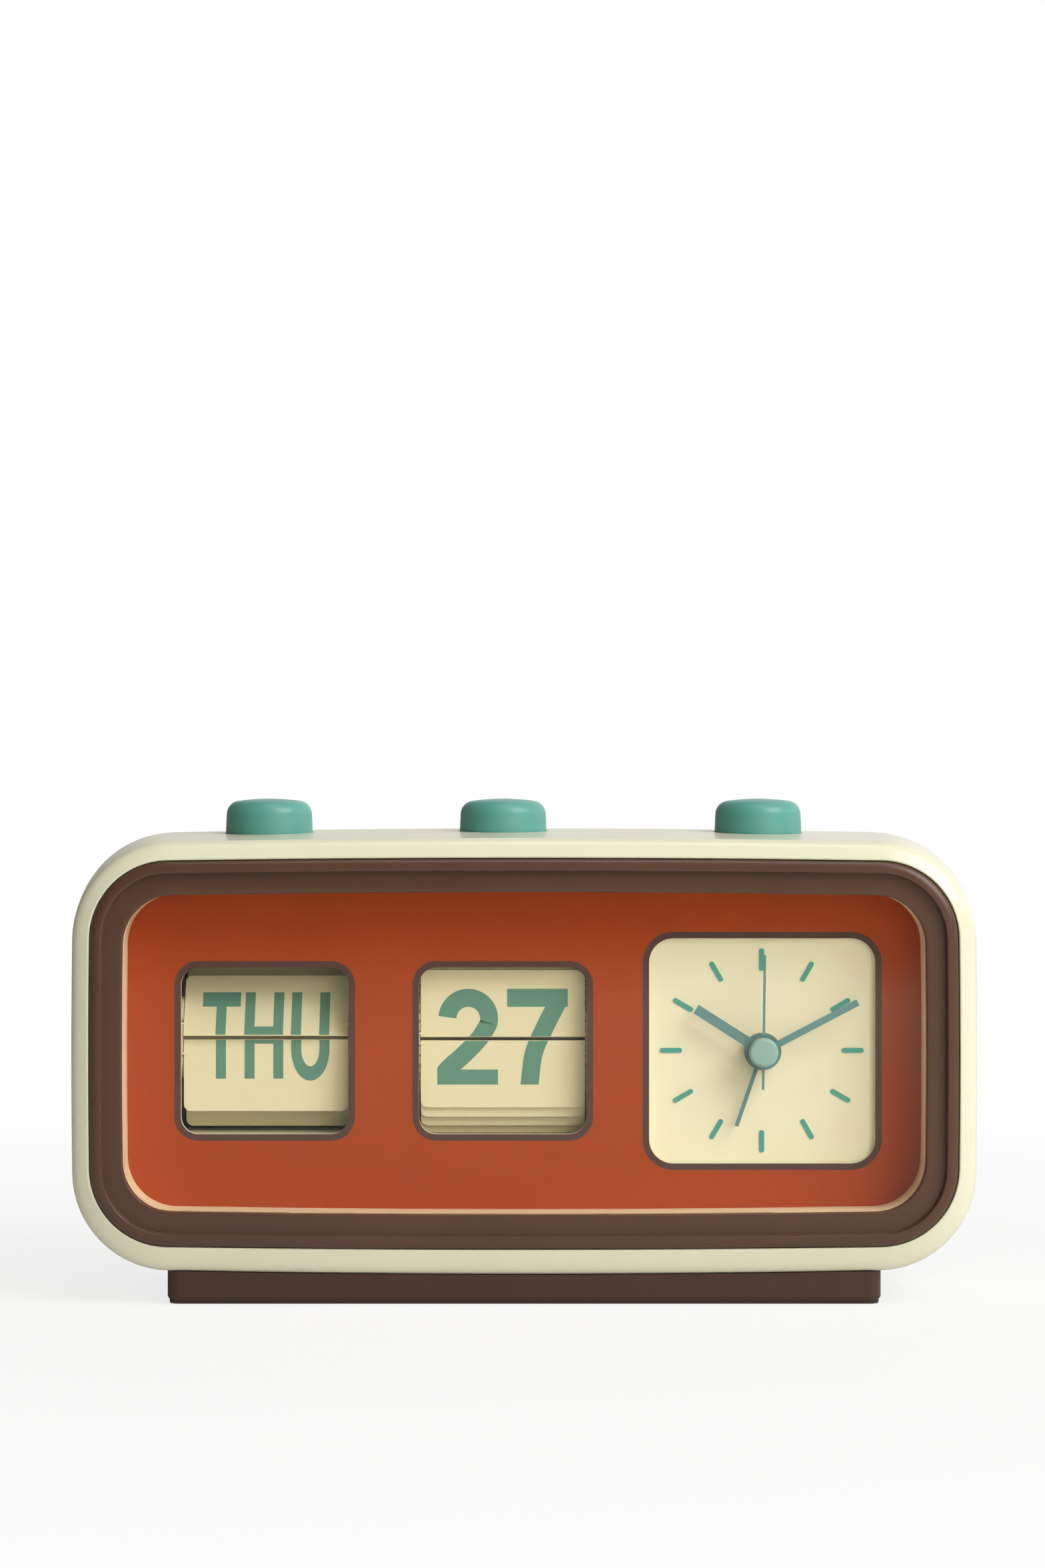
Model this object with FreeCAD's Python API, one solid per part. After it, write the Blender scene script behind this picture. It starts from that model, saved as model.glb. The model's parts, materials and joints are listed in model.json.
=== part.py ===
import FreeCAD, Part

import math
import os

from FreeCAD import Vector

# Desk clock with two split-flap calendar units and a quartz alarm dial.
# Millimetres. +X to the right, +Y towards the back, +Z up, origin under the middle of the clock.
# Depths are counted from the front of the case lip towards the back.

# ---------------------------------------------------------------- case
CASE_DEPTH = 58.0
KNOB_PROUD = 5.0          # how far the rear knobs stand out of the case
LIP_W = 180.0             # case width where the front lip ends
LIP_H = 86.4              # case height there, through the middle
LIP_CORNER = 20.0
BARREL_SWELL_W = 2.4      # how much larger the case is half way back than at its lip
BARREL_SWELL_H = 2.8
BARREL_CORNER = 18.0
REAR_SWELL_W = 1.0        # the same at its back
REAR_SWELL_H = 3.2
REAR_CORNER = 18.0
CASE_UNDER = 6.3          # underside of the lip above the table, at the middle
SIDE_BOW = 0.6            # crown of the two sides
TOP_BOW = 1.2             # crown of the top and the underside
LIP_ROUND = 3.2
REAR_ROUND = 4.0
CASE_WALL = 2.5
LEDGE_BACK = 7.0          # back of the ledge that carries the bezel
LEDGE_T = 2.0

# ---------------------------------------------------------------- bezel, lens, surround, panel
LIP_FACE_SIDE = 3.55      # width of the lip's face beside the bezel
LIP_FACE_TOP = 4.45       # the same above and below it
BEZEL_CORNER = 15.5
BEZEL_FRONT = 0.1
BEZEL_ROUND = 1.1
OUTER_RING = 2.4
RING_STEP = 1.4
RING_EDGE = 0.4           # round on the bezel's inner edge
BAND_SIDE = 6.35          # width of the whole bezel at the sides
BAND_TOP = 6.65
VIEW_CORNER = 10.0
FRAME_BOW = 0.8           # crown of the bezel's long edges
FRAME_SIDE_BOW = 0.4
LENS_FRONT = 3.2
LENS_T = 1.6
LENS_LAP = 1.8            # how far the lens reaches behind the bezel
SURROUND_WALL = 1.5
SURROUND_FLANGE = 3.0
SURROUND_FLANGE_T = 1.5
PANEL_FRONT = 14.0
PANEL_T = 1.5
FIT_GAP = 0.15            # between parts that drop into each other

# ---------------------------------------------------------------- windows in the panel
VIEW_RISE = 0.6           # middle of the bezel above the middle of the case
WINDOW_RISE = 0.4         # middle of the windows above the middle of the case
SPLIT_RISE = 2.2          # line between the half cards above the middle of the windows
DAY_X = -52.3
DATE_X = -4.3
DIAL_X = 48.0
WINDOW_W = 33.8
WINDOW_SHARE = 0.5234     # height of a calendar window, in heights of the bezel's opening
WINDOW_CORNER = 3.5
DIAL_SHARE = 0.7072       # height of the dial's window, in heights of the bezel's opening
DIAL_EXTRA_W = 0.2
DIAL_WINDOW_CORNER = 4.9

# ---------------------------------------------------------------- calendar units
CARD_SIDE = 0.25          # from a window's side to the cards' ends
PIVOT_DEPTH = 18.6        # plane of the card pins at the front of the drum
DAY_CARDS = 7
DAY_DRUM_SHARE = 0.2083   # pin circle's radius, in heights of the window
DAY_REACH_SHARE = 0.3452  # from a pin to the card's free edge, in heights of the window
DAY_CARD_T = 0.25
DAY_LEAN = 36.0           # how far the standing card leans back, degrees
DAY_EDGE_GAP = 0.15       # from the split line to the inner edge of the standing card
DAY_RATCHET_SHARE = 0.66  # ratchet's radius in pin circles; it sets the stroke of the button
DATE_CARDS = 31
DATE_DRUM_SHARE = 0.2976
DATE_REACH_SHARE = 0.3839
DATE_CARD_T = 0.2
DATE_LEAN = 1.0
DATE_EDGE_GAP = 0.35
DATE_RATCHET_SHARE = 1.04
FAN_GATHER = 0.6          # 0 spreads the cards evenly, 1 gathers them at the front
CARD_CORNER = 1.4
PIN_R = 0.4
PIN_ROOT = 0.8            # how far a pin runs into its card
SLOT_W = 1.1
RIM = 1.3                 # drum disc outside the pin circle
DISC_T = 1.05
HUB_R = 3.0
AXLE_R = 1.5
RUN_GAP = 0.08            # radial gap of turning fits
AXLE_SEAT_GAP = 0.05
RATCHET_T = 1.2
TOOTH = 0.9
SIDE_T = 1.2
FRAME_BACK = 42.0
BRIDGE_DROP = 13.6        # from the top of the case down to the bridges under the buttons
BRIDGE_T = 1.5
BRIDGE_REACH = 7.0        # half depth of a unit's bridge
FLOOR_GAP = 0.5           # from the cards' widest sweep down to the floor under them
FLOOR_REACH = 18.0        # depth of that floor
FLOOR_T = 1.0
FRAME_UNDER = 2.7         # from under the deeper floor down to the frame's bottom edge
LUG_T = 1.5
LUG_REACH = 3.0
ARM_DROP = 1.2            # from the bridge down to the slider's arm
ARM_T = 2.0
ARM_REACH = 4.0
PAWL_RISE = 12.0          # pawl's pin above the split line
PAWL_PIN_R = 0.7
UNIT_SCREW_R = 0.85
UNIT_SCREW_BITE = 1.0     # how deep the unit screws go into the panel
SCREW_HOLE_GAP = 0.05

# ---------------------------------------------------------------- buttons
BUTTON_R = 9.0
BUTTON_PROUD = 6.9        # above the top of the case
BUTTON_DEPTH = 30.0       # middle of the buttons, from the front
BUTTON_ROUND = 1.6
BUTTON_WALL = 1.6
BUTTON_TAPER = 0.25
COLLAR_GAP = 0.2
COLLAR_WALL = 1.6
COLLAR_DROP = 5.5         # from the top of the case down to the collars' lower edge
FLANGE_T = 1.4
FLANGE_REACH = 1.4
STEM_R = 3.0
SPRING_R = 4.4
SPRING_WIRE = 0.4
SPRING_TURNS = 5
ALARM_STROKE = 2.5
BLADE_RISE = 1.3          # upper contact strip above the movement

# ---------------------------------------------------------------- dial, hands, movement
DIAL_T = 1.0
DIAL_LAP = 2.3            # how far the dial plate reaches behind the panel
MARK_IN_SHARE = 0.7093    # hour marks and hands, in half heights of the dial's window
MARK_OUT_SHARE = 0.9075
HOUR_SHARE = 0.7
MINUTE_SHARE = 0.947
SECOND_SHARE = 0.859
SECOND_TAIL_SHARE = 0.33
ALARM_SHARE = 0.705
MARK_W = 1.0
MARK_T = 0.2
MOVEMENT_SHARE = 0.81     # movement's width and height, in heights of the bezel's opening
MOVEMENT_BACK = 39.0
MOVEMENT_WALL = 1.5
EAR_INSET = 8.0           # fixing ears from the movement's corners
ALARM_HAND_DEPTH = 13.4
HOUR_HAND_DEPTH = 11.8
MINUTE_HAND_DEPTH = 10.2
SECOND_HAND_DEPTH = 8.8
HAND_T = 0.35
HOUR_W = 2.0
MINUTE_W = 1.35
SECOND_W = 0.5
ALARM_W = 0.8
HUB_DISC_R = 3.75
CAP_R = 2.95
CAP_T = 1.6
ARBOR_R = 0.45
MINUTE_PIPE_R = 1.0
HOUR_PIPE_R = 1.6
ALARM_PIPE_R = 2.2
BUSH_R = 2.8
HOUR_ANGLE = -57.5        # clockwise from twelve, degrees
MINUTE_ANGLE = 62.4
SECOND_ANGLE = 0.8
ALARM_ANGLE = 199.0

# ---------------------------------------------------------------- base and back
BASE_W = 142.4
BASE_FRONT = 3.0
BASE_UNDER = 0.8
BASE_WALL = 2.5
BASE_CORNER = 2.7
BASE_SEAT = 0.1           # between the case and the base under it
BASE_RIB_T = 1.6
FOOT_R = 4.0
FOOT_T = 1.8
FOOT_INSET = 6.0
POST_INSET_X = 10.5       # screw posts from the case's sides
POST_INSET_Z = 9.7
POST_R = 3.0
COVER_T = 2.5
COVER_SINK = 1.0          # cover's face in front of the case's back edge
COVER_SCREW_R = 1.2
COVER_SCREW_L = 10.0
COVER_HEAD_R = 2.8
COVER_HEAD_SINK = 1.2
TIME_KNOB_R = 9.0
ALARM_KNOB_R = 6.0
FLUTE_R = 0.8
FLUTE_PITCH = 2.6
CELL_R = 7.2
CELL_L = 50.5
CELL_DROP = 21.0          # battery cell below the middle of the case
DOOR_T = 1.5
DOOR_GAP = 0.2
DOOR_PIN_R = 0.5
TRAY_WALL = 1.2
BUZZER_X = -28.0
BUZZER_RISE = 20.5        # buzzer above the middle of the case
BUZZER_R = 11.0
BUZZER_T = 6.0
GRILLE_SLOTS = 5
GRILLE_PITCH = 3.2


def to_tenth(value):
    return round(value, 1)


# ---------------------------------------------------------------- sizes that follow
FRONT_Y = -(CASE_DEPTH + KNOB_PROUD) / 2
BARREL_W = LIP_W + BARREL_SWELL_W
BARREL_H = LIP_H + BARREL_SWELL_H
REAR_W = LIP_W + REAR_SWELL_W
REAR_H = LIP_H + REAR_SWELL_H
CASE_Z = CASE_UNDER + LIP_H / 2
CASE_TOP = CASE_Z + BARREL_H / 2
BEZEL_W = LIP_W - 2 * LIP_FACE_SIDE
BEZEL_H = LIP_H - 2 * LIP_FACE_TOP
VIEW_W = BEZEL_W - 2 * BAND_SIDE
VIEW_H = BEZEL_H - 2 * BAND_TOP
VIEW_Z = CASE_Z + VIEW_RISE
PANEL_BACK = PANEL_FRONT + PANEL_T
WINDOW_Z = CASE_Z + WINDOW_RISE
WINDOW_H = to_tenth(VIEW_H * WINDOW_SHARE)
DIAL_WINDOW_H = to_tenth(VIEW_H * DIAL_SHARE)
DIAL_WINDOW_W = DIAL_WINDOW_H + DIAL_EXTRA_W
SPLIT_Z = WINDOW_Z + SPLIT_RISE
DAY_DRUM_R = to_tenth(WINDOW_H * DAY_DRUM_SHARE)
DAY_CARD_REACH = to_tenth(WINDOW_H * DAY_REACH_SHARE)
DATE_DRUM_R = to_tenth(WINDOW_H * DATE_DRUM_SHARE)
DATE_CARD_REACH = to_tenth(WINDOW_H * DATE_REACH_SHARE)
LEAF_HALF = WINDOW_W / 2 - CARD_SIDE
DISC_IN = LEAF_HALF + FIT_GAP
DISC_OUT = DISC_IN + DISC_T
RATCHET_OUT = DISC_OUT + RATCHET_T
LEG_IN = RATCHET_OUT + 0.3
LEG_OUT = LEG_IN + 1.0
RIGHT_SIDE = LEG_OUT + 0.5
LEFT_SIDE = DISC_OUT + 0.4
FRAME_BOTTOM = (SPLIT_Z - max(DAY_DRUM_R + DAY_CARD_REACH, DATE_DRUM_R + DATE_CARD_REACH)
                - FLOOR_GAP - FLOOR_T - FRAME_UNDER)
BRIDGE_Z = CASE_TOP - BRIDGE_DROP
BUTTON_TOP = CASE_TOP + BUTTON_PROUD
COLLAR_BOTTOM = CASE_TOP - COLLAR_DROP
DIAL_FRONT = PANEL_BACK + 0.3
DIAL_BACK = DIAL_FRONT + DIAL_T
DIAL_R = DIAL_WINDOW_H / 2
DIAL_PLATE = DIAL_WINDOW_H + 2 * DIAL_LAP
MARK_IN = to_tenth(DIAL_R * MARK_IN_SHARE)
MARK_OUT = to_tenth(DIAL_R * MARK_OUT_SHARE)
HOUR_HAND = to_tenth(DIAL_R * HOUR_SHARE)
MINUTE_HAND = to_tenth(DIAL_R * MINUTE_SHARE)
SECOND_HAND = to_tenth(DIAL_R * SECOND_SHARE)
SECOND_TAIL = to_tenth(DIAL_R * SECOND_TAIL_SHARE)
ALARM_HAND = to_tenth(DIAL_R * ALARM_SHARE)
MOVEMENT = to_tenth(VIEW_H * MOVEMENT_SHARE)
MOVEMENT_TOP = WINDOW_Z + MOVEMENT / 2
BLADE_Z = MOVEMENT_TOP + BLADE_RISE
EAR_X = MOVEMENT / 2 - EAR_INSET
ALARM_KNOB_X = MOVEMENT / 2 - 4.0
ALARM_KNOB_Z = MOVEMENT / 2 - 6.0
COVER_BACK = CASE_DEPTH - COVER_SINK
COVER_FRONT = COVER_BACK - COVER_T
BASE_BACK = CASE_DEPTH - 4.0
POST_X = LIP_W / 2 - POST_INSET_X
POST_Z = LIP_H / 2 - POST_INSET_Z
CELL_Z = CASE_Z - CELL_DROP
TRAY_FRONT = MOVEMENT_BACK + 0.3
CELL_DEPTH = TRAY_FRONT + TRAY_WALL + CELL_R + 0.3
BUZZER_Z = CASE_Z + BUZZER_RISE


# ---------------------------------------------------------------- basic shapes
def at(x, depth, z):
    """A point from its place across, its depth behind the front of the lip, and its height."""
    return Vector(x, FRONT_Y + depth, z)


def box(x0, x1, depth0, depth1, z0, z1):
    return Part.makeBox(x1 - x0, depth1 - depth0, z1 - z0, at(x0, depth0, z0))


def rod_y(x, z, r, depth0, depth1):
    """Cylinder from front to back."""
    return Part.makeCylinder(r, depth1 - depth0, at(x, depth0, z), Vector(0, 1, 0))


def rod_x(depth, z, r, x0, x1):
    """Cylinder from left to right."""
    return Part.makeCylinder(r, x1 - x0, at(x0, depth, z), Vector(1, 0, 0))


def rod_z(x, depth, r, z0, z1):
    """Upright cylinder."""
    return Part.makeCylinder(r, z1 - z0, at(x, depth, z0), Vector(0, 0, 1))


def join(shapes):
    whole = shapes[0]
    for shape in shapes[1:]:
        whole = whole.fuse(shape)
    return whole.removeSplitter()


def crowned_wire(w, h, corner, depth, z_mid, bow_top, bow_side):
    """Rounded rectangle whose four sides are shallow arcs, in an upright plane facing front.

    Each side is an arc through its middle, and each corner arc touches the two arcs beside it.
    """
    half_w = w / 2
    half_h = h / 2
    r_top = (half_w ** 2 + bow_top ** 2) / (2 * bow_top)
    r_side = (half_h ** 2 + bow_side ** 2) / (2 * bow_side)
    top_c = half_h - r_top
    side_c = half_w - r_side
    # corner centre: r_top - corner from (0, top_c) and r_side - corner from (side_c, 0)
    a = r_top - corner
    b = r_side - corner
    gap = math.hypot(side_c, top_c)
    along = (a * a - b * b + gap * gap) / (2 * gap)
    off = math.sqrt(a * a - along * along)
    ux, uz = side_c / gap, -top_c / gap
    cx = ux * along - uz * off
    cz = top_c + uz * along + ux * off
    if cx < 0 or cz < 0:
        cx = ux * along + uz * off
        cz = top_c + uz * along - ux * off
    on_top = (cx * r_top / a, top_c + (cz - top_c) * r_top / a)
    on_side = (side_c + (cx - side_c) * r_side / b, cz * r_side / b)
    mid_dir = Vector(on_top[0] + on_side[0] - 2 * cx, 0, on_top[1] + on_side[1] - 2 * cz)
    mid_dir.normalize()
    on_mid = (cx + corner * mid_dir.x, cz + corner * mid_dir.z)

    def p(x, z):
        return at(x, depth, z_mid + z)

    edges = []
    for sx, sz in ((1, 1), (1, -1), (-1, -1), (-1, 1)):
        arc = Part.Arc(p(sx * on_top[0], sz * on_top[1]), p(sx * on_mid[0], sz * on_mid[1]),
                       p(sx * on_side[0], sz * on_side[1])).toShape()
        edges.append(arc)
        if sx == sz:
            edges.append(Part.Arc(p(sx * on_side[0], sz * on_side[1]), p(sx * half_w, 0),
                                  p(sx * on_side[0], -sz * on_side[1])).toShape())
        else:
            edges.append(Part.Arc(p(sx * on_top[0], sz * on_top[1]), p(0, sz * half_h),
                                  p(-sx * on_top[0], sz * on_top[1])).toShape())
    return Part.Wire(Part.__sortEdges__(edges))


def crowned_slab(w, h, corner, depth0, depth1, z_mid=VIEW_Z, bow_top=FRAME_BOW, bow_side=FRAME_SIDE_BOW):
    wire = crowned_wire(w, h, corner, depth0, z_mid, bow_top, bow_side)
    return Part.Face(wire).extrude(Vector(0, depth1 - depth0, 0))


def rounded_slab(x, z, w, h, corner, depth0, depth1):
    """Straight-sided rounded rectangle from front to back."""
    slab = box(x - w / 2, x + w / 2, depth0, depth1, z - h / 2, z + h / 2)
    edges = [e for e in slab.Edges if abs(e.Vertexes[0].Y - e.Vertexes[1].Y) > 1e-6]
    return slab.makeFillet(corner, edges)


def profile_x(points, x0, x1):
    """Flat plate from x0 to x1 whose outline is given as (depth, z) points."""
    corners = [at(x0, d, z) for d, z in points]
    face = Part.Face(Part.makePolygon(corners + corners[:1]))
    return face.extrude(Vector(x1 - x0, 0, 0))


def screw(x, z, head_depth, length, head_r, shank_r, forward=-1):
    """Pan-head screw along Y; its head's inner face is at head_depth and the shank runs forward."""
    shank_end = head_depth + forward * length
    head_end = head_depth - forward * head_r * 0.7
    shank = rod_y(x, z, shank_r, min(head_depth, shank_end), max(head_depth, shank_end))
    head = rod_y(x, z, head_r, min(head_depth, head_end), max(head_depth, head_end))
    rim = [e for e in head.Edges if abs(e.BoundBox.YMin - at(0, head_end, 0).y) < 1e-6
           and e.BoundBox.YLength < 1e-6]
    head = head.makeFillet(head_r * 0.35, rim)
    slot = box(x - head_r, x + head_r, min(head_end, head_end + forward * 0.5),
               max(head_end, head_end + forward * 0.5), z - 0.25, z + 0.25)
    return join([shank, head]).cut(slot)


# ---------------------------------------------------------------- case
def case_loft(inset, depth0, depth1):
    """Barrel-shaped body between two depths, with its skin moved in by inset."""
    stations = [
        (0.0, LIP_W, LIP_H, LIP_CORNER),
        (CASE_DEPTH * 0.5, BARREL_W, BARREL_H, BARREL_CORNER),
        (CASE_DEPTH, REAR_W, REAR_H, REAR_CORNER),
    ]

    def section(depth):
        # parabola through the three stations
        t = depth / CASE_DEPTH
        weights = (2 * (t - 0.5) * (t - 1), -4 * t * (t - 1), 2 * t * (t - 0.5))
        w, h, corner = (sum(k * s[i] for k, s in zip(weights, stations)) for i in (1, 2, 3))
        return crowned_wire(w - 2 * inset, h - 2 * inset, corner - inset, depth, CASE_Z,
                            TOP_BOW, SIDE_BOW)

    steps = 4
    wires = [section(depth0 + (depth1 - depth0) * i / steps) for i in range(steps + 1)]
    return Part.makeLoft(wires, True, False)


def edges_at(shape, depth):
    """Edges that lie wholly in the upright plane at this depth."""
    y = at(0, depth, 0).y
    return [e for e in shape.Edges if abs(e.BoundBox.YMin - y) < 1e-3 and abs(e.BoundBox.YMax - y) < 1e-3]


def case_body():
    body = case_loft(0.0, 0.0, CASE_DEPTH)
    body = body.makeFillet(LIP_ROUND, edges_at(body, 0.0))
    return body.makeFillet(REAR_ROUND, edges_at(body, CASE_DEPTH))


def post_places():
    return [(sx * POST_X, CASE_Z + sz * POST_Z) for sx in (-1, 1) for sz in (-1, 1)]


def button_places():
    return {"day": DAY_X, "date": DATE_X, "alarm": DIAL_X}


def housing(body):
    cavity = case_loft(CASE_WALL, LEDGE_BACK, CASE_DEPTH + 1)
    shell = body.cut(cavity)
    shell = shell.cut(crowned_slab(BEZEL_W + 2 * FIT_GAP, BEZEL_H + 2 * FIT_GAP, BEZEL_CORNER + FIT_GAP,
                                   -1, LEDGE_BACK - LEDGE_T))
    ledge_hole = 2 * (SURROUND_WALL + 2 * FIT_GAP)
    shell = shell.cut(crowned_slab(VIEW_W + ledge_hole, VIEW_H + ledge_hole,
                                   VIEW_CORNER + ledge_hole / 2, -1, LEDGE_BACK + 1))
    parts = [shell]
    keep = case_loft(CASE_WALL / 2, LEDGE_BACK - LEDGE_T, COVER_FRONT)
    for x, z in post_places():
        parts.append(rod_y(x, z, POST_R, LEDGE_BACK - LEDGE_T / 2, COVER_FRONT).common(keep))
    for x in button_places().values():
        collar = rod_z(x, BUTTON_DEPTH, BUTTON_R + COLLAR_GAP + COLLAR_WALL, COLLAR_BOTTOM,
                       CASE_TOP)
        parts.append(collar.common(case_loft(CASE_WALL / 2, LEDGE_BACK, COVER_FRONT)))
    shell = join(parts)
    for x, z in post_places():
        shell = shell.cut(rod_y(x, z, COVER_SCREW_R + SCREW_HOLE_GAP, COVER_FRONT - COVER_SCREW_L - 2,
                                COVER_FRONT + 1))
    for x in button_places().values():
        shell = shell.cut(rod_z(x, BUTTON_DEPTH, BUTTON_R + COLLAR_GAP, COLLAR_BOTTOM - 1, BUTTON_TOP))
    return shell


def bezel():
    outer = crowned_slab(BEZEL_W, BEZEL_H, BEZEL_CORNER, BEZEL_FRONT, LEDGE_BACK - LEDGE_T)
    outer = outer.makeFillet(BEZEL_ROUND, edges_at(outer, BEZEL_FRONT))
    step = crowned_slab(BEZEL_W - 2 * OUTER_RING, BEZEL_H - 2 * OUTER_RING, BEZEL_CORNER - OUTER_RING,
                        BEZEL_FRONT - 1, BEZEL_FRONT + RING_STEP)
    opening = crowned_slab(VIEW_W, VIEW_H, VIEW_CORNER, 0, LEDGE_BACK)
    lap = 2 * (LENS_LAP + FIT_GAP)
    seat = crowned_slab(VIEW_W + lap, VIEW_H + lap, VIEW_CORNER + lap / 2, LENS_FRONT, LEDGE_BACK)
    ring = outer.cut(step).cut(opening)
    inner = [e for e in edges_at(ring, BEZEL_FRONT + RING_STEP)
             if abs(e.CenterOfMass.x) < VIEW_W / 2 + 1 and abs(e.CenterOfMass.z - VIEW_Z) < VIEW_H / 2 + 1]
    return ring.makeFillet(RING_EDGE, inner).cut(seat)


def lens():
    lap = 2 * LENS_LAP
    return crowned_slab(VIEW_W + lap, VIEW_H + lap, VIEW_CORNER + LENS_LAP, LENS_FRONT, LENS_FRONT + LENS_T)


def surround():
    back_of_lens = LENS_FRONT + LENS_T
    wall = crowned_slab(VIEW_W + 2 * SURROUND_WALL, VIEW_H + 2 * SURROUND_WALL, VIEW_CORNER + SURROUND_WALL,
                        back_of_lens, PANEL_FRONT)
    reach = SURROUND_WALL + SURROUND_FLANGE
    flange = crowned_slab(VIEW_W + 2 * reach, VIEW_H + 2 * reach, VIEW_CORNER + reach,
                          LEDGE_BACK, LEDGE_BACK + SURROUND_FLANGE_T)
    ring = join([wall, flange]).cut(crowned_slab(VIEW_W, VIEW_H, VIEW_CORNER, 0, PANEL_FRONT + 1))
    for x, z in post_places():
        ring = ring.cut(rod_y(x, z, POST_R + FIT_GAP, 0, PANEL_FRONT))
    return ring


def panel(screw_holes):
    plate = crowned_slab(VIEW_W + 2 * SURROUND_WALL, VIEW_H + 2 * SURROUND_WALL,
                         VIEW_CORNER + SURROUND_WALL, PANEL_FRONT, PANEL_BACK)
    for x in (DAY_X, DATE_X):
        plate = plate.cut(rounded_slab(x, WINDOW_Z, WINDOW_W, WINDOW_H, WINDOW_CORNER,
                                       PANEL_FRONT - 1, PANEL_BACK + 1))
    for x, z in screw_holes:
        plate = plate.cut(rod_y(x, z, UNIT_SCREW_R + SCREW_HOLE_GAP, PANEL_BACK - UNIT_SCREW_BITE - 0.1,
                                PANEL_BACK + 1))
    return plate.cut(rounded_slab(DIAL_X, WINDOW_Z, DIAL_WINDOW_W, DIAL_WINDOW_H, DIAL_WINDOW_CORNER,
                                  PANEL_FRONT - 1, PANEL_BACK + 1))


def foot_places():
    x = BASE_W / 2 - FOOT_INSET
    return [(sx * x, d) for sx in (-1, 1) for d in (BASE_FRONT + FOOT_INSET, BASE_BACK - FOOT_INSET)]


def base():
    """Tray whose upper edge follows the case's underside, with pads over the feet and three ribs."""
    top = CASE_Z
    block = box(-BASE_W / 2, BASE_W / 2, BASE_FRONT, BASE_BACK, BASE_UNDER, top)
    uprights = [e for e in block.Edges if abs(e.Vertexes[0].Z - e.Vertexes[1].Z) > 1]
    block = block.makeFillet(BASE_CORNER, uprights)
    rim = [e for e in block.Edges if e.BoundBox.ZMax < BASE_UNDER + 1e-6]
    block = block.makeFillet(1.0, rim)
    inside = box(-BASE_W / 2 + BASE_WALL, BASE_W / 2 - BASE_WALL, BASE_FRONT + BASE_WALL,
                 BASE_BACK - BASE_WALL, BASE_UNDER - 1, top)
    pads = [rod_z(x, d, FOOT_R + 1.6, BASE_UNDER, top).common(block) for x, d in foot_places()]
    ribs = [box(x - BASE_RIB_T / 2, x + BASE_RIB_T / 2, BASE_FRONT + 1, BASE_BACK - 1,
                BASE_UNDER + 1.5, top) for x in (-BASE_W / 4, 0, BASE_W / 4)]
    tray = join([block.cut(inside)] + pads + ribs).cut(case_loft(-BASE_SEAT, 0.0, CASE_DEPTH))
    for x, d in foot_places():
        tray = tray.cut(rod_z(x, d, FOOT_R + FIT_GAP, 0, FOOT_T))
    return tray


def feet():
    pads = []
    for x, d in foot_places():
        pad = rod_z(x, d, FOOT_R, 0, FOOT_T)
        pads.append(pad.makeFillet(0.4, [e for e in pad.Edges if e.BoundBox.ZMax < 1e-6]))
    return Part.makeCompound(pads)


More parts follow.
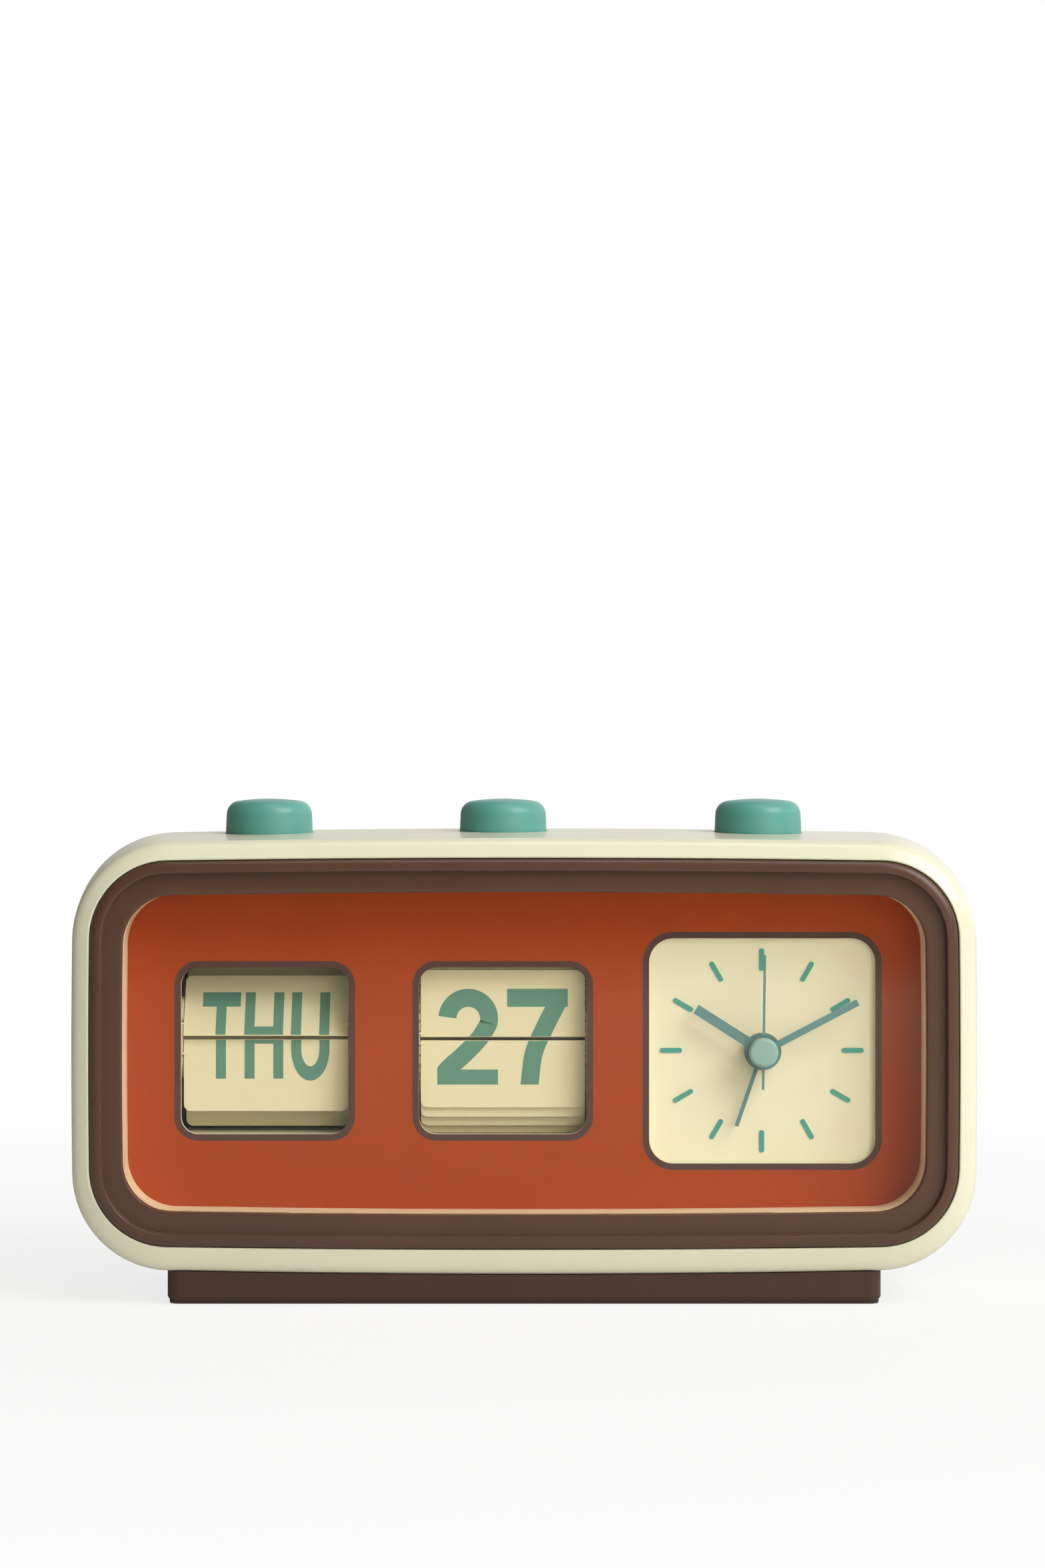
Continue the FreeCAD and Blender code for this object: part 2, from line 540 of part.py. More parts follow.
# ---------------------------------------------------------------- calendar units
class Unit:
    """One split-flap unit: its sizes, its drum and the polar frame round the drum's axle.

    Angles run from the front (0) over the top (90) to the back (180), seen from the left end.
    """

    def __init__(self, x, cards, drum_r, reach, card_t, lean, edge_gap, ratchet_share):
        self.x = x
        self.cards = cards
        self.drum_r = drum_r
        self.reach = reach
        self.card_t = card_t
        self.lean = lean
        self.step = 360.0 / cards
        self.half_pitch = drum_r * math.sin(math.radians(self.step / 2))
        self.overhang = self.half_pitch - edge_gap
        self.axle_depth = PIVOT_DEPTH + drum_r * math.cos(math.radians(self.step / 2))
        self.ratchet_r = drum_r * ratchet_share

    def polar(self, r, angle):
        """(depth, z) of a point at radius r and angle round the axle."""
        a = math.radians(angle)
        return self.axle_depth - r * math.cos(a), SPLIT_Z + r * math.sin(a)

    def pin_angle(self, i):
        return self.step * (i + 0.5)

    def card_angle(self, i):
        share = i / (self.cards - 1)
        share -= FAN_GATHER * math.sin(2 * math.pi * share) / (2 * math.pi)
        return 90 + self.lean + (180 - self.lean) * share

    def card(self, i):
        """Card number i, from the standing one in front (0) round the back to the hanging one.

        A flat sheet with a small pin at each end, from its overhang inside the drum to its free edge.
        """
        w = 2 * LEAF_HALF
        sheet = Part.makeBox(w, self.card_t, self.reach + self.overhang,
                             Vector(-w / 2, -self.card_t / 2, -self.overhang))
        free = [e for e in sheet.Edges if abs(e.Vertexes[0].Y - e.Vertexes[1].Y) > 1e-6
                and e.CenterOfMass.z > 0]
        sheet = sheet.makeFillet(CARD_CORNER, free)
        half_pin = min(PIN_R, self.card_t)
        for side in (-1, 1):
            end = side * (LEAF_HALF + DISC_T * 0.9)
            start = side * (LEAF_HALF - PIN_ROOT)
            pin = Part.makeCylinder(half_pin, abs(end - start), Vector(start, 0, 0), Vector(side, 0, 0))
            sheet = sheet.fuse(pin)
        # the sheet is drawn standing upright; leaning back by (angle - 90) turns +Z towards +Y
        sheet.rotate(Vector(0, 0, 0), Vector(1, 0, 0), -(self.card_angle(i) - 90))
        depth, z = self.polar(self.drum_r, self.pin_angle(i))
        sheet.translate(at(self.x, depth, z))
        return sheet

    def drum(self):
        """Hub on the axle with a slotted disc at each end; each slot holds a card's pin."""
        rim_r = self.drum_r + RIM
        hub = rod_x(self.axle_depth, SPLIT_Z, HUB_R, self.x - DISC_OUT, self.x + DISC_OUT)
        floor = self.drum_r - SLOT_W / 2
        half_rim = math.degrees(SLOT_W / 2 / rim_r)
        half_floor = math.degrees(SLOT_W / 2 / floor)
        land = self.step - 2 * half_rim
        runs = max(1, round(land / 8))
        outline = []
        for i in range(self.cards):
            a = self.pin_angle(i)
            outline += [self.polar(floor, a - half_floor), self.polar(floor, a + half_floor)]
            outline += [self.polar(rim_r, a + half_rim + land * k / runs) for k in range(runs + 1)]
        discs = [profile_x(outline, self.x - DISC_OUT, self.x - DISC_IN),
                 profile_x(outline, self.x + DISC_IN, self.x + DISC_OUT)]
        bore = rod_x(self.axle_depth, SPLIT_Z, AXLE_R + RUN_GAP, self.x - 30, self.x + 30)
        return join([hub] + discs).cut(bore)

    def ratchet(self):
        """Saw-toothed wheel; the steep faces look up at the front, where the pawl pushes them."""
        runs = max(1, round(self.step / 12))
        outline = []
        for i in range(self.cards):
            a = self.pin_angle(i)
            outline.append(self.polar(self.ratchet_r + TOOTH / 2, a))
            for k in range(runs):
                share = k / runs
                outline.append(self.polar(self.ratchet_r + TOOTH * (share - 0.5), a + self.step * share))
        wheel = profile_x(outline, self.x + DISC_OUT, self.x + RATCHET_OUT)
        return wheel.cut(rod_x(self.axle_depth, SPLIT_Z, AXLE_R + RUN_GAP, self.x, self.x + 30))

    def axle(self):
        return rod_x(self.axle_depth, SPLIT_Z, AXLE_R, self.x - LEFT_SIDE - SIDE_T,
                     self.x + RIGHT_SIDE + SIDE_T)

    def frame(self):
        """Two side plates, a top bridge that guides the push stem, a bottom bar and a floor for the cards."""
        front = BUTTON_DEPTH - BRIDGE_REACH
        back = BUTTON_DEPTH + BRIDGE_REACH
        outline = [(PANEL_BACK, FRAME_BOTTOM), (FRAME_BACK - 8, FRAME_BOTTOM),
                   (FRAME_BACK, FRAME_BOTTOM + 13), (FRAME_BACK, BRIDGE_Z - 14.5),
                   (back, BRIDGE_Z + BRIDGE_T), (front, BRIDGE_Z + BRIDGE_T), (PANEL_BACK, BRIDGE_Z - 12.5)]
        left = self.x - LEFT_SIDE
        right = self.x + RIGHT_SIDE
        parts = [profile_x(outline, left - SIDE_T, left), profile_x(outline, right, right + SIDE_T)]
        parts.append(box(left, right, front, back, BRIDGE_Z, BRIDGE_Z + BRIDGE_T))
        parts.append(box(left, right, PANEL_BACK + 4, PANEL_BACK + 10, FRAME_BOTTOM, FRAME_BOTTOM + 1.5))
        floor = SPLIT_Z - self.drum_r - self.reach - FLOOR_GAP
        end = self.x + LEAF_HALF
        parts.append(box(left, end, PANEL_BACK + 1, PANEL_BACK + 1 + FLOOR_REACH, floor - FLOOR_T, floor))
        parts.append(box(left, end, PANEL_BACK + 9, PANEL_BACK + 10, FRAME_BOTTOM, floor))
        for z in self.lug_heights():
            for x0, x1 in ((left - SIDE_T - LUG_REACH, left), (right, right + SIDE_T + LUG_REACH)):
                parts.append(box(x0, x1, PANEL_BACK, PANEL_BACK + LUG_T, z - 2, z + 2))
        whole = join(parts)
        whole = whole.cut(rod_z(self.x, BUTTON_DEPTH, STEM_R + RUN_GAP, BRIDGE_Z - 1, BRIDGE_Z + 3))
        whole = whole.cut(rod_x(self.axle_depth, SPLIT_Z, AXLE_R + AXLE_SEAT_GAP, self.x - 30, self.x + 30))
        low = SPLIT_Z + 5.9
        high = BRIDGE_Z - 8.5
        window = [(self.axle_depth + 3, low), (FRAME_BACK - 3, low), (FRAME_BACK - 3, min(low + 5, high)),
                  (FRAME_BACK - 8, high), (self.axle_depth, high)]
        whole = whole.cut(profile_x(window, self.x - 30, self.x + 30))
        for x, z in self.screw_places():
            whole = whole.cut(rod_y(x, z, UNIT_SCREW_R + SCREW_HOLE_GAP, PANEL_BACK - 1, PANEL_BACK + 3))
        return whole

    def lug_heights(self):
        return (FRAME_BOTTOM + 3, BRIDGE_Z - 15)

    def screw_places(self):
        out = SIDE_T + LUG_REACH / 2 + 0.1
        return [(x, z) for z in self.lug_heights()
                for x in (self.x - LEFT_SIDE - out, self.x + RIGHT_SIDE + out)]

    def pawl_pivot(self):
        return PANEL_BACK + 2.6, SPLIT_Z + PAWL_RISE

    def slider(self):
        """Arm under the stem that turns down beside the drum and carries the pawl on a pin."""
        depth, z = self.pawl_pivot()
        arm_z = self.arm_top()
        front = BUTTON_DEPTH - ARM_REACH
        back = BUTTON_DEPTH + ARM_REACH
        arm = box(self.x - ARM_REACH, self.x + LEG_OUT, front, back, arm_z - ARM_T, arm_z)
        leg = profile_x([(back, arm_z), (back, arm_z - 5), (depth + 1.6, z - 1.6), (depth - 1.6, z - 1.6),
                         (depth - 1.6, z + 1.6), (front, arm_z)], self.x + LEG_IN, self.x + LEG_OUT)
        pin = rod_x(depth, z, PAWL_PIN_R, self.x + DISC_OUT + FIT_GAP, self.x + LEG_IN)
        return join([arm, leg, pin])

    def arm_top(self):
        return BRIDGE_Z - ARM_DROP

    def pawl(self):
        """Lever on the slider's pin whose nose rests on the tooth at the front of the ratchet."""
        depth, z = self.pawl_pivot()
        tip_depth, tip_z = self.polar(self.ratchet_r + TOOTH / 2, self.step / 2)
        root_depth = self.polar(self.ratchet_r - TOOTH / 2, self.step / 2)[0]
        low = tip_z + 0.12
        nose = root_depth - 0.4 * TOOTH
        outline = [(depth - 1.4, z), (depth - 1.0, z + 1.4), (depth + 1.0, z + 1.4), (depth + 1.4, z),
                   (tip_depth - 0.1, low + 1.6), (nose, low + 0.5), (nose, low),
                   (tip_depth - 0.9, low), (tip_depth - 1.2, low + 1.6)]
        lever = profile_x(outline, self.x + DISC_OUT + FIT_GAP, self.x + RATCHET_OUT)
        return lever.cut(rod_x(depth, z, PAWL_PIN_R + 0.06, self.x, self.x + 30))

    def detent(self):
        """Flat spring from the bottom bar whose bent tip rests between two teeth under the ratchet."""
        tip_depth, tip_z = self.polar(self.ratchet_r + TOOTH / 2 + 0.35, -90)
        x0 = self.x + DISC_OUT + 0.1
        x1 = self.x + RATCHET_OUT
        bar_z = FRAME_BOTTOM + 1.5
        start = PANEL_BACK + 5
        outline = [(start, bar_z), (start + 4, bar_z), (start + 4, bar_z + 0.5), (start + 1.6, bar_z + 0.5),
                   (tip_depth + 1.2, tip_z - 0.6), (tip_depth + 1.2, tip_z - 0.2), (tip_depth - 0.8, tip_z),
                   (start, bar_z + 1.5)]
        return profile_x(outline, x0, x1)


def coil(x, z0, z1):
    """Round-wire compression spring round an upright stem."""
    height = z1 - z0 - 2 * SPRING_WIRE
    path = Part.makeHelix(height / SPRING_TURNS, height, SPRING_R)
    ring = Part.Wire(Part.makeCircle(SPRING_WIRE, Vector(SPRING_R, 0, 0), Vector(0, 1, 0)))
    wire = Part.Wire(path).makePipeShell([ring], True, False)
    wire.translate(at(x, BUTTON_DEPTH, z0 + SPRING_WIRE))
    return wire


def button_underside():
    return BUTTON_TOP - BUTTON_WALL - 0.4


def button(x, stem_bottom):
    """Moulded cap with a tapered skirt, a retaining flange under the collar and a guide stem."""
    flange_top = COLLAR_BOTTOM - 0.1
    flange_bottom = flange_top - FLANGE_T
    cap = Part.makeCone(BUTTON_R, BUTTON_R - BUTTON_TAPER, BUTTON_TOP - flange_top,
                        at(x, BUTTON_DEPTH, flange_top), Vector(0, 0, 1))
    top_edge = [e for e in cap.Edges if e.BoundBox.ZMin > BUTTON_TOP - 1e-6]
    cap = cap.makeFillet(BUTTON_ROUND, top_edge)
    flange = rod_z(x, BUTTON_DEPTH, BUTTON_R + FLANGE_REACH, flange_bottom, flange_top)
    body = join([cap, flange])
    hollow = rod_z(x, BUTTON_DEPTH, BUTTON_R - BUTTON_WALL, flange_bottom - 1, button_underside())
    body = body.cut(hollow)
    stem = rod_z(x, BUTTON_DEPTH, STEM_R, stem_bottom, button_underside() + 0.5)
    return join([body, stem])


# ---------------------------------------------------------------- movement and hands
def dial():
    plate = rounded_slab(DIAL_X, WINDOW_Z, DIAL_PLATE, DIAL_PLATE, 3.0, DIAL_FRONT, DIAL_BACK)
    return plate.cut(rod_y(DIAL_X, WINDOW_Z, 3.1, 0, DIAL_BACK + 1))


def hour_marks():
    marks = []
    for i in range(12):
        mark = box(DIAL_X - MARK_W / 2, DIAL_X + MARK_W / 2, DIAL_FRONT - MARK_T, DIAL_FRONT,
                   WINDOW_Z + MARK_IN, WINDOW_Z + MARK_OUT)
        ends = [e for e in mark.Edges if abs(e.Vertexes[0].Y - e.Vertexes[1].Y) > 1e-6]
        mark = mark.makeFillet(MARK_W * 0.48, ends)
        mark.rotate(at(DIAL_X, 0, WINDOW_Z), Vector(0, 1, 0), 30 * i)
        marks.append(mark)
    return Part.makeCompound(marks)


def hand(depth, hub_r, pipe_r, bore_r, blade, angle, pipe_end):
    """Blade outline in (x, z) before turning, on a hub disc with a pipe that runs back."""
    corners = [at(DIAL_X + x, depth, WINDOW_Z + z) for x, z in blade]
    sheet = Part.Face(Part.makePolygon(corners + corners[:1])).extrude(Vector(0, HAND_T, 0))
    disc = rod_y(DIAL_X, WINDOW_Z, hub_r, depth, depth + HAND_T * 1.6)
    pipe = rod_y(DIAL_X, WINDOW_Z, pipe_r, depth, pipe_end)
    whole = join([sheet, disc, pipe])
    if bore_r > 0:
        whole = whole.cut(rod_y(DIAL_X, WINDOW_Z, bore_r, depth - 1, pipe_end + 1))
    whole.rotate(at(DIAL_X, 0, WINDOW_Z), Vector(0, 1, 0), angle)
    return whole


def bar_blade(length, w, tip_w, tail=0.0):
    return [(-w / 2, -tail), (-tip_w / 2, length), (tip_w / 2, length), (w / 2, -tail)]


def movement_case():
    """Closed block with a threaded bush in front, four fixing ears and a sunken back for its cover."""
    half = MOVEMENT / 2
    block = rounded_slab(DIAL_X, WINDOW_Z, MOVEMENT, MOVEMENT, 5.0, DIAL_BACK, MOVEMENT_BACK - 4)
    bush = rod_y(DIAL_X, WINDOW_Z, BUSH_R, DIAL_FRONT - 1.2, DIAL_BACK + 1)
    corners = [(sx, sz) for sx in (-1, 1) for sz in (-1, 1)]
    ears = [box(DIAL_X + sx * EAR_X - 3, DIAL_X + sx * EAR_X + 3, DIAL_BACK + 3, DIAL_BACK + 5,
                WINDOW_Z + sz * half - 4, WINDOW_Z + sz * half + 4) for sx, sz in corners]
    whole = join([block, bush] + ears)
    for sx, sz in corners:
        whole = whole.cut(rod_y(DIAL_X + sx * EAR_X, WINDOW_Z + sz * (half + 2.2), 0.9, 0, MOVEMENT_BACK))
    whole = whole.cut(rod_y(DIAL_X, WINDOW_Z, ALARM_PIPE_R + RUN_GAP, 0, MOVEMENT_BACK - 9))
    inner = MOVEMENT - 2 * MOVEMENT_WALL
    return whole.cut(rounded_slab(DIAL_X, WINDOW_Z, inner, inner, 3.5, MOVEMENT_BACK - 7, MOVEMENT_BACK))


def movement_cover():
    lid = rounded_slab(DIAL_X, WINDOW_Z, MOVEMENT, MOVEMENT, 5.0, MOVEMENT_BACK - 4, MOVEMENT_BACK - 2.5)
    inner = MOVEMENT - 2 * (MOVEMENT_WALL + FIT_GAP)
    plug = rounded_slab(DIAL_X, WINDOW_Z, inner, inner, 3.4, MOVEMENT_BACK - 7, MOVEMENT_BACK - 4)
    boss = rod_y(DIAL_X, WINDOW_Z, 5.0, MOVEMENT_BACK - 3, MOVEMENT_BACK)
    side_boss = rod_y(DIAL_X + ALARM_KNOB_X, WINDOW_Z + ALARM_KNOB_Z, 3.5, MOVEMENT_BACK - 3, MOVEMENT_BACK)
    whole = join([lid, plug, boss, side_boss])
    whole = whole.cut(rod_y(DIAL_X, WINDOW_Z, 2.0 + RUN_GAP, 0, MOVEMENT_BACK + 1))
    return whole.cut(rod_y(DIAL_X + ALARM_KNOB_X, WINDOW_Z + ALARM_KNOB_Z, 1.5 + RUN_GAP,
                           MOVEMENT_BACK - 7, MOVEMENT_BACK + 1))


def switch_bracket():
    """Stamped bridge on top of the movement; it guides the alarm stem and carries its spring."""
    top = MOVEMENT_TOP
    half = 11.0
    bridge = box(DIAL_X - half, DIAL_X + half, BUTTON_DEPTH - 6, BUTTON_DEPTH + 6, top, BRIDGE_Z + BRIDGE_T)
    opening = box(DIAL_X - half + 1.2, DIAL_X + half - 1.2, BUTTON_DEPTH - 7, BUTTON_DEPTH + 7, top - 1,
                  BRIDGE_Z + BRIDGE_T - 1.2)
    bridge = bridge.cut(opening)
    feet_plates = [box(DIAL_X + side * half - 2 + side * 2, DIAL_X + side * half + 2 + side * 2,
                       BUTTON_DEPTH - 6, BUTTON_DEPTH + 6, top, top + 1.2) for side in (-1, 1)]
    bridge = join([bridge] + feet_plates)
    return bridge.cut(rod_z(DIAL_X, BUTTON_DEPTH, STEM_R + RUN_GAP, top - 1, BRIDGE_Z + BRIDGE_T + 1))


def switch_blades():
    """Two contact strips on a block; the stem presses the upper one."""
    top = MOVEMENT_TOP
    block = box(DIAL_X + 4, DIAL_X + 8, BUTTON_DEPTH - 3, BUTTON_DEPTH + 3, top, BLADE_Z)
    upper = box(DIAL_X - 6, DIAL_X + 8, BUTTON_DEPTH - 2, BUTTON_DEPTH + 2, BLADE_Z - 0.3, BLADE_Z)
    lower = box(DIAL_X - 5, DIAL_X + 5, BUTTON_DEPTH - 2, BUTTON_DEPTH + 2, top + 0.2, top + 0.5)
    return join([block, upper, lower])


def dial_nut():
    nut = rod_y(DIAL_X, WINDOW_Z, 3.6, DIAL_FRONT - 1.0, DIAL_FRONT)
    return nut.cut(rod_y(DIAL_X, WINDOW_Z, BUSH_R + 0.03, 0, DIAL_FRONT + 1))


def knob(x, z, r, shaft_r, shaft_front):
    """Fluted knob behind the rear cover on a shaft that reaches into the movement."""
    face = COVER_BACK + 0.4
    end = CASE_DEPTH + KNOB_PROUD
    wheel = rod_y(x, z, r, face, end)
    wheel = wheel.makeFillet(0.8, edges_at(wheel, end))
    flutes = int(round(2 * math.pi * r / FLUTE_PITCH))
    ring = r + FLUTE_R / 2
    for i in range(flutes):
        a = 2 * math.pi * i / flutes
        wheel = wheel.cut(rod_y(x + ring * math.cos(a), z + ring * math.sin(a), FLUTE_R, face - 1, end + 1))
    dish = Part.makeCylinder(r * 0.55, 0.8, at(x, end - 0.8, z), Vector(0, 1, 0))
    shaft = rod_y(x, z, shaft_r, shaft_front, face + 1)
    return join([wheel.cut(dish), shaft])


# ---------------------------------------------------------------- back
def door_frame():
    return DIAL_X - CELL_L / 2 - 2, DIAL_X + CELL_L / 2 + 2, CELL_Z - CELL_R - 0.8, CELL_Z + CELL_R + 0.8


def hinge_line():
    """(depth, z) of the battery door's hinge."""
    return COVER_BACK - DOOR_T / 2, door_frame()[2] + DOOR_GAP + DOOR_T / 2


def rear_cover():
    """Plate with the battery tray in front, holes for the knobs and screws, and the buzzer's slots."""
    plate = case_loft(CASE_WALL + 0.3, COVER_FRONT, COVER_BACK)
    x0, x1, z0, z1 = door_frame()
    tray = box(x0 - TRAY_WALL, x1 + TRAY_WALL, TRAY_FRONT, COVER_FRONT + 1, z0 - TRAY_WALL, z1 + TRAY_WALL)
    whole = join([plate, tray])
    whole = whole.cut(box(x0, x1, TRAY_FRONT + TRAY_WALL, COVER_BACK + 1, z0, z1))
    depth, z = hinge_line()
    whole = whole.cut(rod_x(depth, z, DOOR_PIN_R + RUN_GAP, x0 - 0.8, x1 + 0.8))
    whole = whole.cut(rod_y(DIAL_X, WINDOW_Z, 3.2, MOVEMENT_BACK, COVER_BACK + 1))
    whole = whole.cut(rod_y(DIAL_X + ALARM_KNOB_X, WINDOW_Z + ALARM_KNOB_Z, 2.6, MOVEMENT_BACK,
                            COVER_BACK + 1))
    for x, z in post_places():
        whole = whole.cut(rod_y(x, z, COVER_SCREW_R + 0.5, COVER_FRONT - 1, COVER_BACK + 1))
        whole = whole.cut(rod_y(x, z, COVER_HEAD_R + 0.3, COVER_BACK - COVER_HEAD_SINK, COVER_BACK + 1))
    for i in range(GRILLE_SLOTS):
        z = BUZZER_Z + (i - (GRILLE_SLOTS - 1) / 2) * GRILLE_PITCH
        whole = whole.cut(rounded_slab(BUZZER_X, z, 16, 1.4, 0.65,
                                       COVER_FRONT - 1, COVER_BACK + 1))
    return whole


def buzzer():
    can = rod_y(BUZZER_X, BUZZER_Z, BUZZER_R, COVER_FRONT - BUZZER_T, COVER_FRONT)
    can = can.makeFillet(0.8, edges_at(can, COVER_FRONT - BUZZER_T))
    return can.cut(rod_y(BUZZER_X, BUZZER_Z, BUZZER_R - 1.2, COVER_FRONT - 3.5, COVER_FRONT + 1))


def battery_door():
    x0, x1, z0, z1 = door_frame()
    leaf = box(x0 + DOOR_GAP, x1 - DOOR_GAP, COVER_BACK - DOOR_T, COVER_BACK, z0 + DOOR_GAP, z1 - DOOR_GAP)
    low = [e for e in leaf.Edges if e.BoundBox.ZMax < z0 + DOOR_GAP + 1e-6 and e.BoundBox.XLength > 1]
    leaf = leaf.makeFillet(DOOR_T / 2 - 0.01, low)
    depth, z = hinge_line()
    leaf = join([leaf, rod_x(depth, z, DOOR_PIN_R, x0 - 0.6, x1 + 0.6)])
    grip = rounded_slab(DIAL_X, z1 - 3.2, 9, 1.2, 0.55, COVER_BACK - 0.6, COVER_BACK + 1)
    return leaf.cut(grip)


def cell():
    x0 = DIAL_X - CELL_L / 2
    can = rod_x(CELL_DEPTH, CELL_Z, CELL_R, x0, x0 + CELL_L - 1)
    nub = rod_x(CELL_DEPTH, CELL_Z, 2.6, x0 + CELL_L - 1.5, x0 + CELL_L)
    return join([can.makeFillet(0.5, [e for e in can.Edges if e.BoundBox.XLength < 1e-6]), nub])


def contacts():
    x0, x1 = door_frame()[:2]
    plus = box(x1 - 0.4, x1, CELL_DEPTH - 5, CELL_DEPTH + 5, CELL_Z - 5, CELL_Z + 5)
    plus = join([plus, rod_x(CELL_DEPTH, CELL_Z, 2.0, DIAL_X + CELL_L / 2 + 0.1, x1 - 0.2)])
    minus = box(x0, x0 + 0.4, CELL_DEPTH - 5, CELL_DEPTH + 5, CELL_Z - 5, CELL_Z + 5)
    cone = Part.makeCone(4.0, 2.2, 1.3, at(x0 + 0.3, CELL_DEPTH, CELL_Z), Vector(1, 0, 0))
    cone = cone.cut(Part.makeCone(3.4, 1.6, 1.3, at(x0 + 0.3, CELL_DEPTH, CELL_Z), Vector(1, 0, 0)))
    return Part.makeCompound([plus, join([minus, cone])])


def cover_screws():
    seat = COVER_BACK - COVER_HEAD_SINK
    return Part.makeCompound([screw(x, z, seat, COVER_SCREW_L, COVER_HEAD_R, COVER_SCREW_R)
                              for x, z in post_places()])


# ---------------------------------------------------------------- all nodes
def build():
    nodes = {}
    body = case_body()
    nodes["main_housing"] = housing(body)
    nodes["bezel"] = bezel()
    nodes["lens"] = lens()
    nodes["inner_surround"] = surround()
    nodes["base_plinth"] = base()
    nodes["base_feet"] = feet()

    units = {
        "day": Unit(DAY_X, DAY_CARDS, DAY_DRUM_R, DAY_CARD_REACH, DAY_CARD_T, DAY_LEAN,
                    DAY_EDGE_GAP, DAY_RATCHET_SHARE),
        "date": Unit(DATE_X, DATE_CARDS, DATE_DRUM_R, DATE_CARD_REACH, DATE_CARD_T, DATE_LEAN,
                     DATE_EDGE_GAP, DATE_RATCHET_SHARE),
    }
    nodes["face_panel"] = panel([place for unit in units.values() for place in unit.screw_places()])
    for name, unit in units.items():
        nodes[name + "_frame"] = unit.frame()
        nodes[name + "_axle"] = unit.axle()
        nodes[name + "_drum"] = unit.drum()
        nodes[name + "_ratchet"] = unit.ratchet()
        nodes[name + "_card_pack"] = Part.makeCompound([unit.card(i) for i in range(1, unit.cards)])
        nodes[name + "_falling_card"] = unit.card(0)
        nodes[name + "_button"] = button(unit.x, unit.arm_top())
        nodes[name + "_push_slider"] = unit.slider()
        nodes[name + "_pawl"] = unit.pawl()
        nodes[name + "_detent_spring"] = unit.detent()
        nodes[name + "_return_spring"] = coil(unit.x, BRIDGE_Z + BRIDGE_T, button_underside())
        nodes[name + "_unit_screws"] = Part.makeCompound(
            [screw(x, z, PANEL_BACK + LUG_T, LUG_T + UNIT_SCREW_BITE, 1.4, UNIT_SCREW_R)
             for x, z in unit.screw_places()])

    nodes["alarm_button"] = button(DIAL_X, BLADE_Z + ALARM_STROKE + 0.5)
    nodes["alarm_return_spring"] = coil(DIAL_X, BRIDGE_Z + BRIDGE_T, button_underside())
    nodes["alarm_switch_bracket"] = switch_bracket()
    nodes["alarm_switch_blades"] = switch_blades()

    nodes["dial_plate"] = dial()
    nodes["hour_marks"] = hour_marks()
    nodes["dial_nut"] = dial_nut()
    nodes["movement_case"] = movement_case()
    nodes["movement_cover"] = movement_cover()
    inner_end = MOVEMENT_BACK - 10
    nodes["alarm_hand"] = hand(ALARM_HAND_DEPTH, 3.0, ALARM_PIPE_R, HOUR_PIPE_R + RUN_GAP,
                               bar_blade(ALARM_HAND, ALARM_W, ALARM_W), ALARM_ANGLE, inner_end)
    nodes["hour_hand"] = hand(HOUR_HAND_DEPTH, HUB_DISC_R, HOUR_PIPE_R, MINUTE_PIPE_R + RUN_GAP,
                              bar_blade(HOUR_HAND, HOUR_W, HOUR_W), HOUR_ANGLE, inner_end)
    nodes["minute_hand"] = hand(MINUTE_HAND_DEPTH, 2.9, MINUTE_PIPE_R, ARBOR_R + RUN_GAP,
                                bar_blade(MINUTE_HAND, MINUTE_W, MINUTE_W), MINUTE_ANGLE, inner_end)
    nodes["second_hand"] = hand(SECOND_HAND_DEPTH, 1.6, ARBOR_R, 0,
                                bar_blade(SECOND_HAND, SECOND_W, SECOND_W, SECOND_TAIL),
                                SECOND_ANGLE, inner_end)
    cap = rod_y(DIAL_X, WINDOW_Z, CAP_R, SECOND_HAND_DEPTH - CAP_T, SECOND_HAND_DEPTH)
    nodes["hand_cap"] = cap.makeFillet(0.7, edges_at(cap, SECOND_HAND_DEPTH - CAP_T))
    nodes["time_knob"] = knob(DIAL_X, WINDOW_Z, TIME_KNOB_R, 2.0, MOVEMENT_BACK - 7)
    nodes["alarm_knob"] = knob(DIAL_X + ALARM_KNOB_X, WINDOW_Z + ALARM_KNOB_Z, ALARM_KNOB_R, 1.5,
                               MOVEMENT_BACK - 6)
    nodes["rear_cover"] = rear_cover()
    nodes["cover_screws"] = cover_screws()
    nodes["buzzer"] = buzzer()
    nodes["battery_door"] = battery_door()
    nodes["battery_cell"] = cell()
    nodes["battery_contacts"] = contacts()
    return nodes


os.makedirs("parts", exist_ok=True)
for node, shape in build().items():
    if not shape.isValid():
        print("not valid:", node)
    shape.exportStep("parts/" + node + ".step")
    print(node, "solids", len(shape.Solids), "volume %.1f" % shape.Volume)
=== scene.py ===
import json
import math

